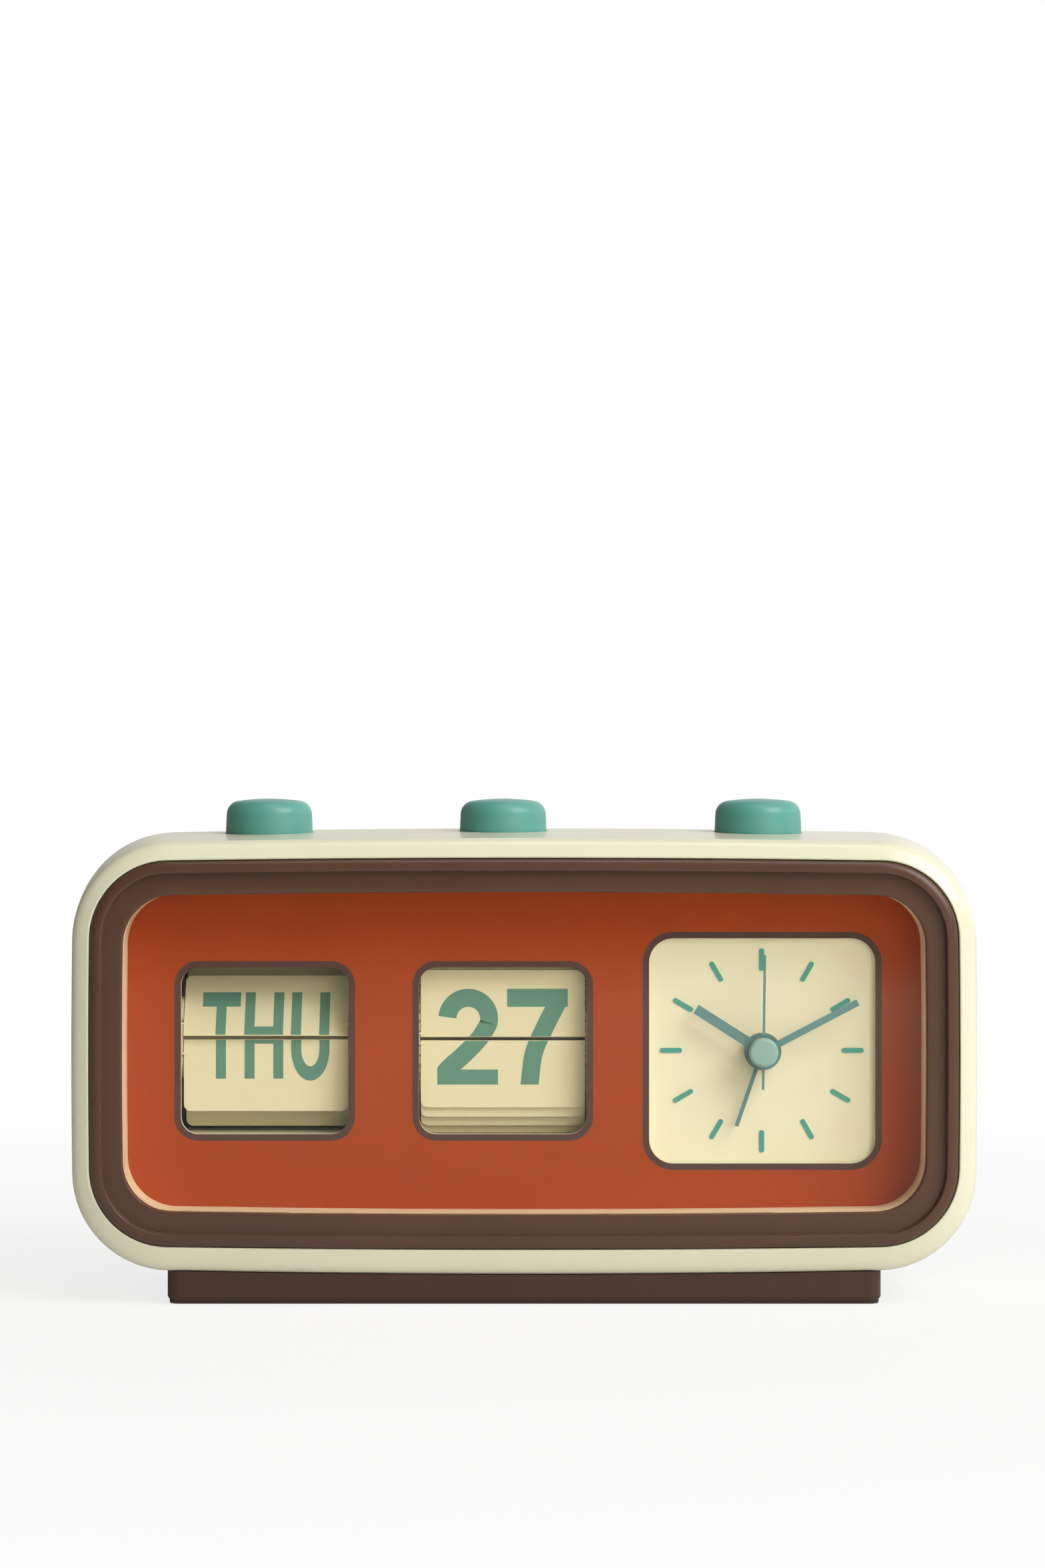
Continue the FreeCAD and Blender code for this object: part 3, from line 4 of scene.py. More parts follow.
import bmesh
import bpy
import numpy as np
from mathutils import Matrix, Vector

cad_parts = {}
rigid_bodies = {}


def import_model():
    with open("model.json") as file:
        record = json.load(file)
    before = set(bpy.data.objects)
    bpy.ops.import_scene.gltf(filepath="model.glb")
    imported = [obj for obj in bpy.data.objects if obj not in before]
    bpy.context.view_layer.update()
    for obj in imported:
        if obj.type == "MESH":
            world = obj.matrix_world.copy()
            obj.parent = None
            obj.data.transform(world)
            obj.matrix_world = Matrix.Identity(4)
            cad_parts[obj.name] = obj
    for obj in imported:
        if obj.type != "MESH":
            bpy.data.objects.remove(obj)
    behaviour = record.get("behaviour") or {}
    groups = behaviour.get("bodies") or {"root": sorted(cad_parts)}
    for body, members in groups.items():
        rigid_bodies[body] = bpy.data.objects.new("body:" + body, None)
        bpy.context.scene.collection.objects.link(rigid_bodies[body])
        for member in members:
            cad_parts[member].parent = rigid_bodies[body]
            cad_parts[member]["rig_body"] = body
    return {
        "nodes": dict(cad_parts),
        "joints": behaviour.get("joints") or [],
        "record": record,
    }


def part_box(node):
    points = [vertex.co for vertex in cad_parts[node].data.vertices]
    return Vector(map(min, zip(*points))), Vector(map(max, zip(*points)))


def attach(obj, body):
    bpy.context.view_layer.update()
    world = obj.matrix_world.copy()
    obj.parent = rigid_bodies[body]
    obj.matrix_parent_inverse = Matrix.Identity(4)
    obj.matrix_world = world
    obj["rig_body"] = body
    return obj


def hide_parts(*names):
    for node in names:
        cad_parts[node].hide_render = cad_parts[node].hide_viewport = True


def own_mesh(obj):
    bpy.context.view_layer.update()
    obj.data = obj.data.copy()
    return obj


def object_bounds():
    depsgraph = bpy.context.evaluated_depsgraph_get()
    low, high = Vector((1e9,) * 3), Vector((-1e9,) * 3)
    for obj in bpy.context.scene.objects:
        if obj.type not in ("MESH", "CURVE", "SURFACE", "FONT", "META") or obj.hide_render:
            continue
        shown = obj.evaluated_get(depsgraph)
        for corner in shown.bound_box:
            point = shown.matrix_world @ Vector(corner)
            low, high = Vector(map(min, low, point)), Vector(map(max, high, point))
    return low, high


# Looks of a desk clock with two split-flap calendar units and an alarm dial.
# Lengths are millimetres until a mesh is made. Depths are counted back from the front of the case lip.

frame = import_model()
cad_low, cad_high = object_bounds()

MM = 0.001
LIP_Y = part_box("main_housing")[0].y / MM

# ---------------------------------------------------------------- case
CASE_DEPTH = 58.0
LIP = (180.0, 86.4, 20.0)          # width, height and corner of the case at its lip
BARREL = (182.4, 89.2, 18.0)       # half way back
REAR = (181.0, 89.6, 18.0)
CASE_Z = 49.5
TOP_SKIN_Z = CASE_Z + BARREL[1] / 4    # above this height the skin belongs to the top
TOP_BOW = 1.2
SIDE_BOW = 0.6
CASE_WALL = 2.5
LIP_SINK = 1.0                     # depth of the lip's inner edge, beside the bezel
LIP_TURN = (24.0, 56.0)            # turn of the lip's face there, and how much more it turns to the side
REAR_ROUND = 4.0
LEDGE_FRONT = 5.0
LEDGE_BACK = 7.0
POCKET_GAP = 0.15                  # between the bezel and the case round it
POCKET_ROUND = 0.3
BASE_UNDER = (1.0, 0.2)            # what of the base lies below the first height comes down to the second

# ---------------------------------------------------------------- bezel and panel
VIEW_Z = 50.1
BEZEL = (172.9, 77.5, 15.5)
VIEW = (160.2, 64.2, 10.0)
FRAME_BOW = 0.8
FRAME_SIDE_BOW = 0.4
BEZEL_FRONT = 0.1
OUTER_RING = 2.4
DOME = (1.9, 1.2)                  # rounded outer part of the bezel's ring, across and deep
STEP_DEPTH = 1.5
BAND_RISE = 0.3                    # how much the inner band rises from the step to its inner edge
BEZEL_EDGE = 0.3                   # round of the bezel's inner edges
LENS_FRONT = 3.2
LENS_LAP = 1.95
LEDGE_HOLE_GROW = 1.8
PANEL_FRONT = 14.0
PANEL_SKIN = 0.05                  # depth of the printed face
OUTLINE_W = 1.3                    # printed line round each window
OUTLINE_GAP = 0.02                 # between that line and the window's edge
PRINT_T = 0.03
LAYER_STEP = 0.002                 # each stroke of a word lies this much higher than the one before
WINDOW = (33.8, 33.6, 3.5)
DIAL_WINDOW = (45.6, 45.4, 4.9)
WINDOW_Z = 49.9
DAY_X = -52.3
DATE_X = -4.3
DIAL_X = 48.0

# ---------------------------------------------------------------- cards
SPLIT_Z = 52.1
PIVOT_DEPTH = 18.6
PRINT_GAP = 0.1                    # print kept clear of each card's inner edge
FAN_EASE = 0.6                     # how much closer together the cards lie at both ends of the fan
CARD_SETS = {
    "day": {"cards": 7, "drum_r": 7.0, "card_t": 0.25, "lean": 36.0, "edge_gap": 0.15},
    "date": {"cards": 31, "drum_r": 10.0, "card_t": 0.2, "lean": 1.0, "edge_gap": 0.35},
}

# ---------------------------------------------------------------- buttons
BUTTONS = {"day_button": DAY_X, "date_button": DATE_X, "alarm_button": DIAL_X}
BUTTON_DEPTH = 30.0
BUTTON_R = 9.0
BUTTON_GAP = 0.2
BUTTON_TOP = 100.7
BUTTON_ROUND = 2.8
BUTTON_CROWN = 8.0                 # slope of the top where it meets the round, degrees
BUTTON_TAPER = 0.25
BUTTON_WALL = 1.6
FLANGE_T = 1.4
FLANGE_REACH = 0.9                 # beyond the hole
FLANGE_GAP = 0.1                   # under the collar
STEM_R = 3.0
COLLAR_WALL = 1.6
COLLAR_BOTTOM = 88.6
COLLAR_TOP = 90.8                  # just under the case's inner skin

# ---------------------------------------------------------------- grids
TOP_COLUMN_REACH = 66.0            # columns run straight back between these two places across
TOP_COLUMN_SHARE = 0.97            # or over this share of the way to the corner, if that is less
TOP_COLUMN_PITCH = 2.0             # about, between two columns
HOLE_RUN = 13                      # grid lines across a button hole
HOLE_FADE = 4.0                    # over which the grid comes back from the round hole to straight lines
SIDE_RUN = 8                       # along half a side
CORNER_RUN = 16                    # round a corner
LEAD_RUN = 3                       # from a corner to the first column
LIP_RUN = 18                       # across the lip
FILLET_RUN = 7                     # round an edge
END_RUN = 4                        # the fewest between two features
COLLAR_RUN = 72                    # round a collar
BUTTON_RUN = 96                    # round a button
RIM_RUN = 12                       # points over its rounded rim
CROWN_RUN = 9                      # and from there to its middle
WINDOW_RUN = 12                    # points round a window's corner
CREASE = 30.0                      # edges of the carried-over shapes stay sharp from this angle on, degrees


def linspaces(stops, runs):
    """Values from stop to stop, each stretch divided evenly, with no stop twice."""
    parts = [np.linspace(a, b, n, endpoint=False) for a, b, n in zip(stops, stops[1:], runs)]
    return np.concatenate(parts + [np.array(stops[-1:])])


def button_columns():
    """Places across the top of the case that grid lines go through, from right to left."""
    hole = BUTTON_R + BUTTON_GAP
    stops = [TOP_COLUMN_REACH]
    runs = []
    for x in sorted(BUTTONS.values(), reverse=True):
        runs += [max(END_RUN, int(abs(stops[-1] - (x + hole)) / TOP_COLUMN_PITCH)), HOLE_RUN]
        stops += [x + hole, x - hole]
    runs.append(END_RUN)
    stops.append(-TOP_COLUMN_REACH)
    return linspaces(stops, runs)


COLUMNS = button_columns()


def bow_radius(half_chord, rise):
    """Radius of a shallow arc that rises this much over half its chord."""
    return (half_chord**2 + rise**2) / (2 * rise)


def crowned_ring(size, inset, depth, middle_z, bow_top, bow_side):
    """Rings of points round a rounded rectangle whose four sides are shallow arcs.

    size is (width, height, corner), inset moves the outline in and depth places it; each may be one number or a
    column with one row per ring. Every point is its arc's centre plus (radius - inset) times the direction the
    outline faces there, arc after arc, counter-clockwise from the middle of the right side.
    """
    depth = np.atleast_1d(np.asarray(depth, float))[:, None]
    inset = np.broadcast_to(np.asarray(inset, float).reshape(-1, 1), depth.shape)
    width, height, corner = (np.broadcast_to(np.asarray(s, float).reshape(-1, 1), depth.shape) for s in size)
    half_w, half_h = width / 2, height / 2
    r_top, r_side = bow_radius(half_w, bow_top), bow_radius(half_h, bow_side)
    top_c, side_c = half_h - r_top, half_w - r_side
    # the corner's centre is r_top - corner from one arc's centre and r_side - corner from the other's
    a, b, gap = r_top - corner, r_side - corner, np.hypot(side_c, top_c)
    along = (a**2 - b**2 + gap**2) / (2 * gap)
    off = np.sqrt(a**2 - along**2)
    ux, uz = side_c / gap, -top_c / gap
    cx, cz = ux * along - uz * off, top_c + uz * along + ux * off
    other = cz < 0
    cx = np.where(other, ux * along + uz * off, cx)
    cz = np.where(other, top_c + uz * along - ux * off, cz)
    side_end = np.arctan2(cz, cx - side_c)
    top_start = np.arctan2(cz - top_c, cx)
    side = np.linspace(0, 1, SIDE_RUN + 1)
    turn = np.linspace(0, 1, CORNER_RUN + 1)
    x_end = (r_top - inset) * np.cos(top_start)
    lead = np.linspace(0, 1, LEAD_RUN, endpoint=False)
    reach = np.minimum(TOP_COLUMN_REACH, x_end * TOP_COLUMN_SHARE)
    columns = COLUMNS * reach / TOP_COLUMN_REACH
    top_x = np.concatenate([x_end + (columns[:, :1] - x_end) * lead, columns,
                            -x_end + (columns[:, -1:] + x_end) * lead[:0:-1], -x_end], axis=1)
    top = np.arccos(top_x / (r_top - inset))
    zero = np.zeros_like(cx)
    arcs = [
        (side_c, zero, r_side, side_end * side),
        (cx, cz, corner, side_end + (top_start - side_end) * turn),
        (zero, top_c, r_top, top),
        (-cx, cz, corner, np.pi - top_start + (top_start - side_end) * turn),
        (-side_c, zero, r_side, np.pi - side_end + 2 * side_end * side),
        (-cx, -cz, corner, np.pi + side_end + (top_start - side_end) * turn),
        (zero, -top_c, r_top, 2 * np.pi - top[:, ::-1]),
        (cx, -cz, corner, 2 * np.pi - top_start + (top_start - side_end) * turn),
        (side_c, zero, r_side, 2 * np.pi - side_end + side_end * side),
    ]
    x = np.concatenate([c + (r - inset) * np.cos(t[:, :-1]) for c, _, r, t in arcs], axis=1)
    z = np.concatenate([c + (r - inset) * np.sin(t[:, :-1]) for _, c, r, t in arcs], axis=1)
    return np.stack([x, np.broadcast_to(depth, x.shape), middle_z + z], axis=2)


def case_size(depth):
    """Width, height and corner of the case at a depth: each follows a parabola through lip, barrel and rear."""
    t = depth / CASE_DEPTH
    weights = (2 * (t - 0.5) * (t - 1), -4 * t * (t - 1), 2 * t * (t - 0.5))
    return [sum(w * s[i] for w, s in zip(weights, (LIP, BARREL, REAR))) for i in range(3)]


def case_ring(inset, depth):
    """Rings round the case's skin."""
    size = case_size(np.atleast_1d(np.asarray(depth, float)))
    return crowned_ring(size, inset, depth, CASE_Z, TOP_BOW, SIDE_BOW)


def frame_ring(size, grow, depth):
    """Rings of the bezel's family of outlines, grown by grow."""
    return crowned_ring(size, -np.asarray(grow, float), depth, VIEW_Z, FRAME_BOW, FRAME_SIDE_BOW)


def ring_faces(rows, columns, close_rows):
    """Quads of a grid whose columns go round, and whose rows close up too if close_rows."""
    i, k = np.meshgrid(np.arange(rows if close_rows else rows - 1), np.arange(columns), indexing="ij")
    i, k = i.ravel(), k.ravel()
    up, round_ = (i + 1) % rows, (k + 1) % columns
    return np.stack([i * columns + k, up * columns + k, up * columns + round_, i * columns + round_], axis=1)


def make_piece(name, points, faces, body, material, replaces=(), sharp=35.0):
    """Mesh from points (x, depth, z) and quads: merged, turned outwards, smooth up to a sharp angle."""
    points = points.reshape(-1, 3) + np.array([0.0, LIP_Y, 0.0])
    mesh = bpy.data.meshes.new(name)
    mesh.from_pydata((points * MM).tolist(), [], faces.tolist())
    tidy_mesh(mesh, sharp)
    piece = bpy.data.objects.new(name, mesh)
    bpy.context.scene.collection.objects.link(piece)
    mesh.materials.append(material)
    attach(piece, body)
    if replaces:
        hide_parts(*replaces)
    return piece


def tidy_mesh(mesh, sharp):
    """Merges doubles, turns closed shells outwards, and shades smooth except along edges over the sharp angle."""
    work = bmesh.new()
    work.from_mesh(mesh)
    bmesh.ops.remove_doubles(work, verts=work.verts, dist=1e-7)
    bmesh.ops.dissolve_degenerate(work, edges=work.edges, dist=1e-8)
    bmesh.ops.recalc_face_normals(work, faces=work.faces)
    limit = math.radians(sharp)
    for face in work.faces:
        face.smooth = True
    for edge in work.edges:
        edge.smooth = len(edge.link_faces) == 2 and edge.calc_face_angle(0.0) < limit
    work.to_mesh(mesh)
    work.free()


# ---------------------------------------------------------------- materials
CLOUDS = 55.0                      # soft clouds to the metre
GRAIN_SHADE = 0.72                 # how dark the grain is against the colour
GLOSS = (-0.015, 0.02)             # how far the roughness varies each way


def colour(red, green, blue):
    """Linear colour of an sRGB one given from 0 to 255."""
    c = np.array([red, green, blue]) / 255
    return (*np.where(c <= 0.04045, c / 12.92, ((c + 0.055) / 1.055) ** 2.4), 1.0)


def new_material(name):
    """New material with its nodes and links."""
    mat = bpy.data.materials.new(name)
    mat.use_nodes = True
    return mat, mat.node_tree.nodes, mat.node_tree.links


def noise(nodes, links, coords, scale, detail=3.0):
    """Noise on the object's own coordinates; scale is in features to the metre."""
    node = nodes.new("ShaderNodeTexNoise")
    node.inputs["Scale"].default_value = scale
    node.inputs["Detail"].default_value = detail
    links.new(coords, node.inputs["Vector"])
    return node.outputs["Fac"]


def spread(nodes, links, source, low, high, start=0.3, end=0.7):
    """The source's middle range spread over low to high."""
    node = nodes.new("ShaderNodeMapRange")
    node.inputs["From Min"].default_value = start
    node.inputs["From Max"].default_value = end
    node.inputs["To Min"].default_value = low
    node.inputs["To Max"].default_value = high
    links.new(source, node.inputs["Value"])
    return node.outputs["Result"]


def maths(nodes, links, operation, first, second):
    """One arithmetic step on two outputs or numbers."""
    node = nodes.new("ShaderNodeMath")
    node.operation = operation
    for socket, value in zip(node.inputs, (first, second)):
        if isinstance(value, (int, float)):
            socket.default_value = value
        else:
            links.new(value, socket)
    return node.outputs["Value"]


def mix_colours(nodes, links, factor, first, second):
    """Mix of two colours, each a value or an output."""
    node = nodes.new("ShaderNodeMix")
    node.data_type = "RGBA"
    links.new(factor, node.inputs["Factor"])
    for socket, value in (("A", first), ("B", second)):
        target = [s for s in node.inputs if s.name == socket and s.type == "RGBA"][0]
        if isinstance(value, tuple):
            target.default_value = value
        else:
            links.new(value, target)
    return [s for s in node.outputs if s.type == "RGBA"][0]


def shade_of(value, factor):
    """The colour made darker or lighter by a factor."""
    return (value[0] * factor, value[1] * factor, value[2] * factor, 1.0)


def moulded(name, value, roughness, uneven=0.05, grain_scale=4200, grain=0.12, metallic=0.0, bump=0.000012,
            specular=0.5):
    """Moulded or stamped surface: two close shades in soft clouds, uneven gloss and a fine grain in relief."""
    mat, nodes, links = new_material(name)
    bsdf = nodes["Principled BSDF"]
    coords = nodes.new("ShaderNodeTexCoord").outputs["Object"]
    clouds = noise(nodes, links, coords, CLOUDS)
    fine = noise(nodes, links, coords, grain_scale, 2.0)
    tint = mix_colours(nodes, links, spread(nodes, links, clouds, 0.0, 1.0),
                       shade_of(value, 1 - uneven), shade_of(value, 1 + uneven * 0.6))
    tint = mix_colours(nodes, links, spread(nodes, links, fine, 0.0, grain), tint, shade_of(value, GRAIN_SHADE))
    links.new(tint, bsdf.inputs["Base Color"])
    links.new(spread(nodes, links, clouds, roughness + GLOSS[0], roughness + GLOSS[1]), bsdf.inputs["Roughness"])
    bsdf.inputs["Metallic"].default_value = metallic
    bsdf.inputs["Specular IOR Level"].default_value = specular
    relief = nodes.new("ShaderNodeBump")
    relief.inputs["Strength"].default_value = 0.35
    relief.inputs["Distance"].default_value = bump
    links.new(fine, relief.inputs["Height"])
    links.new(relief.outputs["Normal"], bsdf.inputs["Normal"])
    return mat


def printed_panel(name, face, edge, roughness):
    """Panel sheet: the printed face in front, the sheet's own pale colour on its cut edges and back."""
    mat = moulded(name, face, roughness, uneven=0.04, grain=0.2, specular=0.14)
    nodes, links = mat.node_tree.nodes, mat.node_tree.links
    bsdf = nodes["Principled BSDF"]
    printed = bsdf.inputs["Base Color"].links[0].from_socket
    coords = nodes.new("ShaderNodeTexCoord").outputs["Object"]
    split = nodes.new("ShaderNodeSeparateXYZ")
    links.new(coords, split.inputs["Vector"])
    behind = maths(nodes, links, "GREATER_THAN", split.outputs["Y"], (LIP_Y + PANEL_FRONT + PANEL_SKIN) * MM)
    links.new(mix_colours(nodes, links, behind, printed, edge), bsdf.inputs["Base Color"])
    return mat


def clear_lens(name):
    """Thin clear sheet: see-through, with a mirror's share on its outer faces that grows towards grazing angles.

    It throws no shadow on what is behind it.
    """
    mat, nodes, links = new_material(name)
    nodes.remove(nodes["Principled BSDF"])
    through = nodes.new("ShaderNodeBsdfTransparent")
    through.inputs["Color"].default_value = (0.99, 0.99, 0.98, 1.0)
    shine = nodes.new("ShaderNodeBsdfGlossy")
    shine.inputs["Roughness"].default_value = 0.06
    fresnel = nodes.new("ShaderNodeFresnel")
    fresnel.inputs["IOR"].default_value = 1.45
    both = nodes.new("ShaderNodeMixShader")
    outside = maths(nodes, links, "SUBTRACT", 1.0, nodes.new("ShaderNodeNewGeometry").outputs["Backfacing"])
    looked_at = maths(nodes, links, "SUBTRACT", outside, nodes.new("ShaderNodeLightPath").outputs["Is Shadow Ray"])
    share = maths(nodes, links, "MULTIPLY", fresnel.outputs["Fac"], maths(nodes, links, "MAXIMUM", looked_at, 0.0))
    links.new(share, both.inputs["Fac"])
    links.new(through.outputs["BSDF"], both.inputs[1])
    links.new(shine.outputs["BSDF"], both.inputs[2])
    links.new(both.outputs["Shader"], nodes["Material Output"].inputs["Surface"])
    return mat


CREAM = colour(224, 222, 199)
CARD = colour(241, 232, 193)
MATERIALS = {
    # the base's brown is a darker, rougher copy of the trim's brown, whose slot it shares: the rougher gloss is its
    # own, the darker colour is painted shade for the little light low under the case
    "base_shaded_brown": moulded("base_shaded_brown", colour(70, 50, 38), 0.5, uneven=0.07, grain=0.3, specular=0.3),
    "case_cream": moulded("case_cream", CREAM, 0.25, uneven=0.02, grain=0.04, bump=0.000006),
    "trim_brown": moulded("trim_brown", colour(86, 60, 46), 0.3, uneven=0.07, grain=0.35, specular=0.4),
    "foot_rubber": moulded("foot_rubber", colour(46, 42, 40), 0.75, bump=0.00003),
    "surround_cream": moulded("surround_cream", colour(246, 224, 186), 0.45, uneven=0.02, grain=0.06),
    "panel_orange": printed_panel("panel_orange", colour(171, 68, 14), CREAM, 0.55),
    "outline_brown": moulded("outline_brown", colour(84, 57, 50), 0.5, uneven=0.05, grain=0.3, specular=0.35),
    "dial_cream": moulded("dial_cream", colour(247, 241, 210), 0.5, uneven=0.02, grain=0.08),
    "dial_teal": moulded("dial_teal", colour(74, 168, 154), 0.45, uneven=0.04, grain=0.1),
    "hand_grey": moulded("hand_grey", colour(98, 143, 143), 0.42, uneven=0.05, grain=0.2),
    "cap_pale": moulded("cap_pale", colour(146, 182, 174), 0.4, uneven=0.04, grain=0.2),
    "brass": moulded("brass", colour(214, 178, 110), 0.3, metallic=1.0, grain=0.05),
    "movement_black": moulded("movement_black", colour(44, 42, 43), 0.45, grain=0.2),
    "steel": moulded("steel", colour(196, 198, 200), 0.295, metallic=1.0, grain=0.05),
    "cell_sleeve": moulded("cell_sleeve", colour(70, 90, 110), 0.35, grain=0.05),
    "button_teal": moulded("button_teal", colour(90, 160, 150), 0.38, uneven=0.03, grain=0.12),
    "card_cream": moulded("card_cream", CARD, 0.6, uneven=0.02, grain=0.12, grain_scale=3500),
    "card_print": moulded("card_print", colour(98, 150, 130), 0.55, uneven=0.04, grain=0.25, grain_scale=3500),
    "unit_cream": moulded("unit_cream", colour(222, 214, 186), 0.5),
    # unit_grey, the units' frames, is a pale cream rather than a grey: painted fill light, so the frame seen in
    # shade below the day cards shows a mid tone rather than black
    "unit_grey": moulded("unit_grey", colour(206, 198, 170), 0.5),
    "lens_clear": clear_lens("lens_clear"),
}


# ---------------------------------------------------------------- pieces carried over
SLOT_OF_NODE = {part["node"]: part["material_slot"] for part in frame["record"]["subparts"]}
# the base takes the darker copy of its slot's brown, with painted shade in its colour
SHADED_COPY_OF_NODE = {"base_plinth": "base_shaded_brown"}
FLAT_NODES = ("face_panel", "dial_plate", "lens", "day_falling_card", "date_falling_card", "day_card_pack",
              "date_card_pack")


def lower_base(mesh):
    """Brings the base's lower edge nearer to the floor than its feet leave it."""
    for vertex in mesh.vertices:
        if vertex.co.z < BASE_UNDER[0] * MM:
            vertex.co.z = BASE_UNDER[1] * MM


def smooth_copy(node):
    """The node's own shape, merged, with its rounded faces shaded smooth."""
    source = frame["nodes"][node]
    mesh = source.data.copy()
    mesh.name = node + "_finished"
    mesh.materials.clear()
    tidy_mesh(mesh, CREASE)
    if node == "base_plinth":
        lower_base(mesh)
    piece = bpy.data.objects.new(node + "_finished", mesh)
    bpy.context.scene.collection.objects.link(piece)
    slot = SLOT_OF_NODE[node]
    mesh.materials.append(MATERIALS[SHADED_COPY_OF_NODE.get(node, slot)])
    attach(piece, source["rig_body"])
    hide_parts(node)
    return piece


# ---------------------------------------------------------------- case
def warp_to_hole(x, depth, hole_x):
    """Moves grid points near a square of lines so that it becomes the round hole.

    A point whose larger offset from the hole's centre is e and whose distance is r is scaled by e / r at the
    square and by 1 from HOLE_FADE outside it on.
    """
    hole = BUTTON_R + BUTTON_GAP
    dx, dd = x - hole_x, depth - BUTTON_DEPTH
    e, r = np.maximum(abs(dx), abs(dd)), np.maximum(np.hypot(dx, dd), 1e-9)
    weight = np.clip(1 - (e - hole) / HOLE_FADE, 0, 1)
    scale = 1 + weight * (e / r - 1)
    return hole_x + dx * scale, BUTTON_DEPTH + dd * scale


def skin_top(x, depth, inset):
    """Height of the case's top skin at a place across and a depth."""
    half_w, half_h = (side / 2 for side in case_size(depth)[:2])
    r_top = bow_radius(half_w, TOP_BOW)
    return CASE_Z + half_h - r_top + np.sqrt((r_top - inset) ** 2 - x**2)


def main_housing():
    """Case shell as rings carried round one closed profile, with three round button holes in the top.

    Profile: the bezel's pocket, the lip, the barrel skin, the rear round, the inner skin and the ledge. Across the
    lip the face turns away by LIP_TURN[0] + LIP_TURN[1] * share**4 degrees, and its depth is the sum of the slopes.
    """
    pocket = POCKET_GAP
    hole = BUTTON_R + BUTTON_GAP
    # flat stretches beside the pocket's round, the lip and the rear round, and the first line behind the lip
    by_pocket, by_lip, by_rear, front_line = 0.4, 0.25, 0.6, 6.0
    corner = np.linspace(0, np.pi / 2, 4)
    pocket_rows = frame_ring(BEZEL, np.full(2, pocket), np.array([LEDGE_FRONT, LIP_SINK + POCKET_ROUND + by_pocket]))
    edge_rows = frame_ring(BEZEL, pocket + POCKET_ROUND * (1 - np.cos(corner)),
                           LIP_SINK + POCKET_ROUND * (1 - np.sin(corner)))
    share = 1 - np.linspace(1, 0, LIP_RUN) ** 1.5
    slope = np.tan(np.radians(LIP_TURN[0] + LIP_TURN[1] * ((share[1:] + share[:-1]) / 2) ** 4))
    lip_w = LIP[0] / 2 - BEZEL[0] / 2 - pocket - POCKET_ROUND
    lip_depth = LIP_SINK + np.cumsum(slope * np.diff(share)) * lip_w
    share = share[1:, None, None]
    inner = frame_ring(BEZEL, np.full(len(lip_depth), pocket + POCKET_ROUND), lip_depth)
    outer = case_ring(np.zeros(len(lip_depth)), lip_depth)
    lip_rows = inner * (1 - share) + outer * share
    lip_back = lip_depth[-1]
    hole_lines = BUTTON_DEPTH + np.linspace(-hole, hole, HOLE_RUN + 1)
    rear_start = CASE_DEPTH - REAR_ROUND
    before = linspaces([lip_back + by_lip, front_line, hole_lines[0]], [3, 8])
    after = linspaces([hole_lines[-1], rear_start - by_rear, rear_start], [8, 1])
    outer_depths = np.concatenate([before, hole_lines[1:], after[1:]])
    outer_rows = case_ring(np.zeros(len(outer_depths)), outer_depths)
    rear_turn = np.linspace(0, math.acos(1 - CASE_WALL / REAR_ROUND), FILLET_RUN)[1:]
    rear_rows = case_ring(REAR_ROUND * (1 - np.cos(rear_turn)), rear_start + REAR_ROUND * np.sin(rear_turn))
    inner_depths = np.concatenate([linspaces([rear_start, hole_lines[-1]], [6]), hole_lines[-2::-1],
                                   linspaces([hole_lines[0], LEDGE_BACK], [6])[1:]])
    inner_rows = case_ring(np.full(len(inner_depths), CASE_WALL), inner_depths)
    ledge_rows = frame_ring(VIEW, np.full(2, LEDGE_HOLE_GROW), np.array([LEDGE_BACK, LEDGE_FRONT]))
    blocks = [pocket_rows, edge_rows, lip_rows, outer_rows, rear_rows, inner_rows, ledge_rows]
    grid = np.concatenate(blocks)
    starts = np.cumsum([0] + [len(b) for b in blocks])
    rows, columns = grid.shape[:2]
    faces = ring_faces(rows, columns, True)
    flat = grid.reshape(-1, 3)
    centres = flat[faces].mean(axis=1)
    row_of_face = faces[:, 0] // columns
    skins = [(starts[3], starts[4], 0.0), (starts[5], starts[6], CASE_WALL)]
    on_skin = np.zeros(len(faces), bool)
    for first, last, _ in skins:
        on_skin |= (row_of_face >= first) & (row_of_face < last - 1)
    on_top = centres[:, 2] > TOP_SKIN_Z
    keep = np.ones(len(faces), bool)
    for x in BUTTONS.values():
        inside = (abs(centres[:, 0] - x) < hole) & (abs(centres[:, 1] - BUTTON_DEPTH) < hole)
        keep &= ~(inside & on_skin & on_top)
    faces = faces[keep]
    walls = []
    for x in BUTTONS.values():
        loops = [hole_loop(grid[first:last], first, columns, x, hole) for first, last, _ in skins]
        outer_loop, inner_loop = loops
        walls.append(np.stack([outer_loop, np.roll(outer_loop, -1), np.roll(inner_loop, -1), inner_loop], axis=1))
    for first, last, inset in skins:
        part = grid[first:last]
        top = part[:, :, 2] > TOP_SKIN_Z
        top &= abs(part[:, :, 0]) < TOP_COLUMN_REACH + 0.01
        x, depth = part[:, :, 0].copy(), part[:, :, 1].copy()
        for hole_x in BUTTONS.values():
            new_x, new_depth = warp_to_hole(x, depth, hole_x)
            x, depth = np.where(top, new_x, x), np.where(top, new_depth, depth)
        part[:, :, 2] = np.where(top, skin_top(x, depth, inset), part[:, :, 2])
        part[:, :, 0], part[:, :, 1] = x, depth
    points, faces = [grid.reshape(-1, 3)], [faces, *walls]
    total = len(points[0])
    for x in BUTTONS.values():
        collar, collar_faces = revolved([(hole, COLLAR_TOP), (hole + COLLAR_WALL, COLLAR_TOP),
                                         (hole + COLLAR_WALL, COLLAR_BOTTOM), (hole, COLLAR_BOTTOM)],
                                        x, BUTTON_DEPTH, COLLAR_RUN, True)
        points.append(collar)
        faces.append(collar_faces + total)
        total += len(collar)
    return make_piece("case_shell", np.concatenate(points), np.concatenate(faces), "case",
                      MATERIALS["case_cream"], ["main_housing"], sharp=40.0)


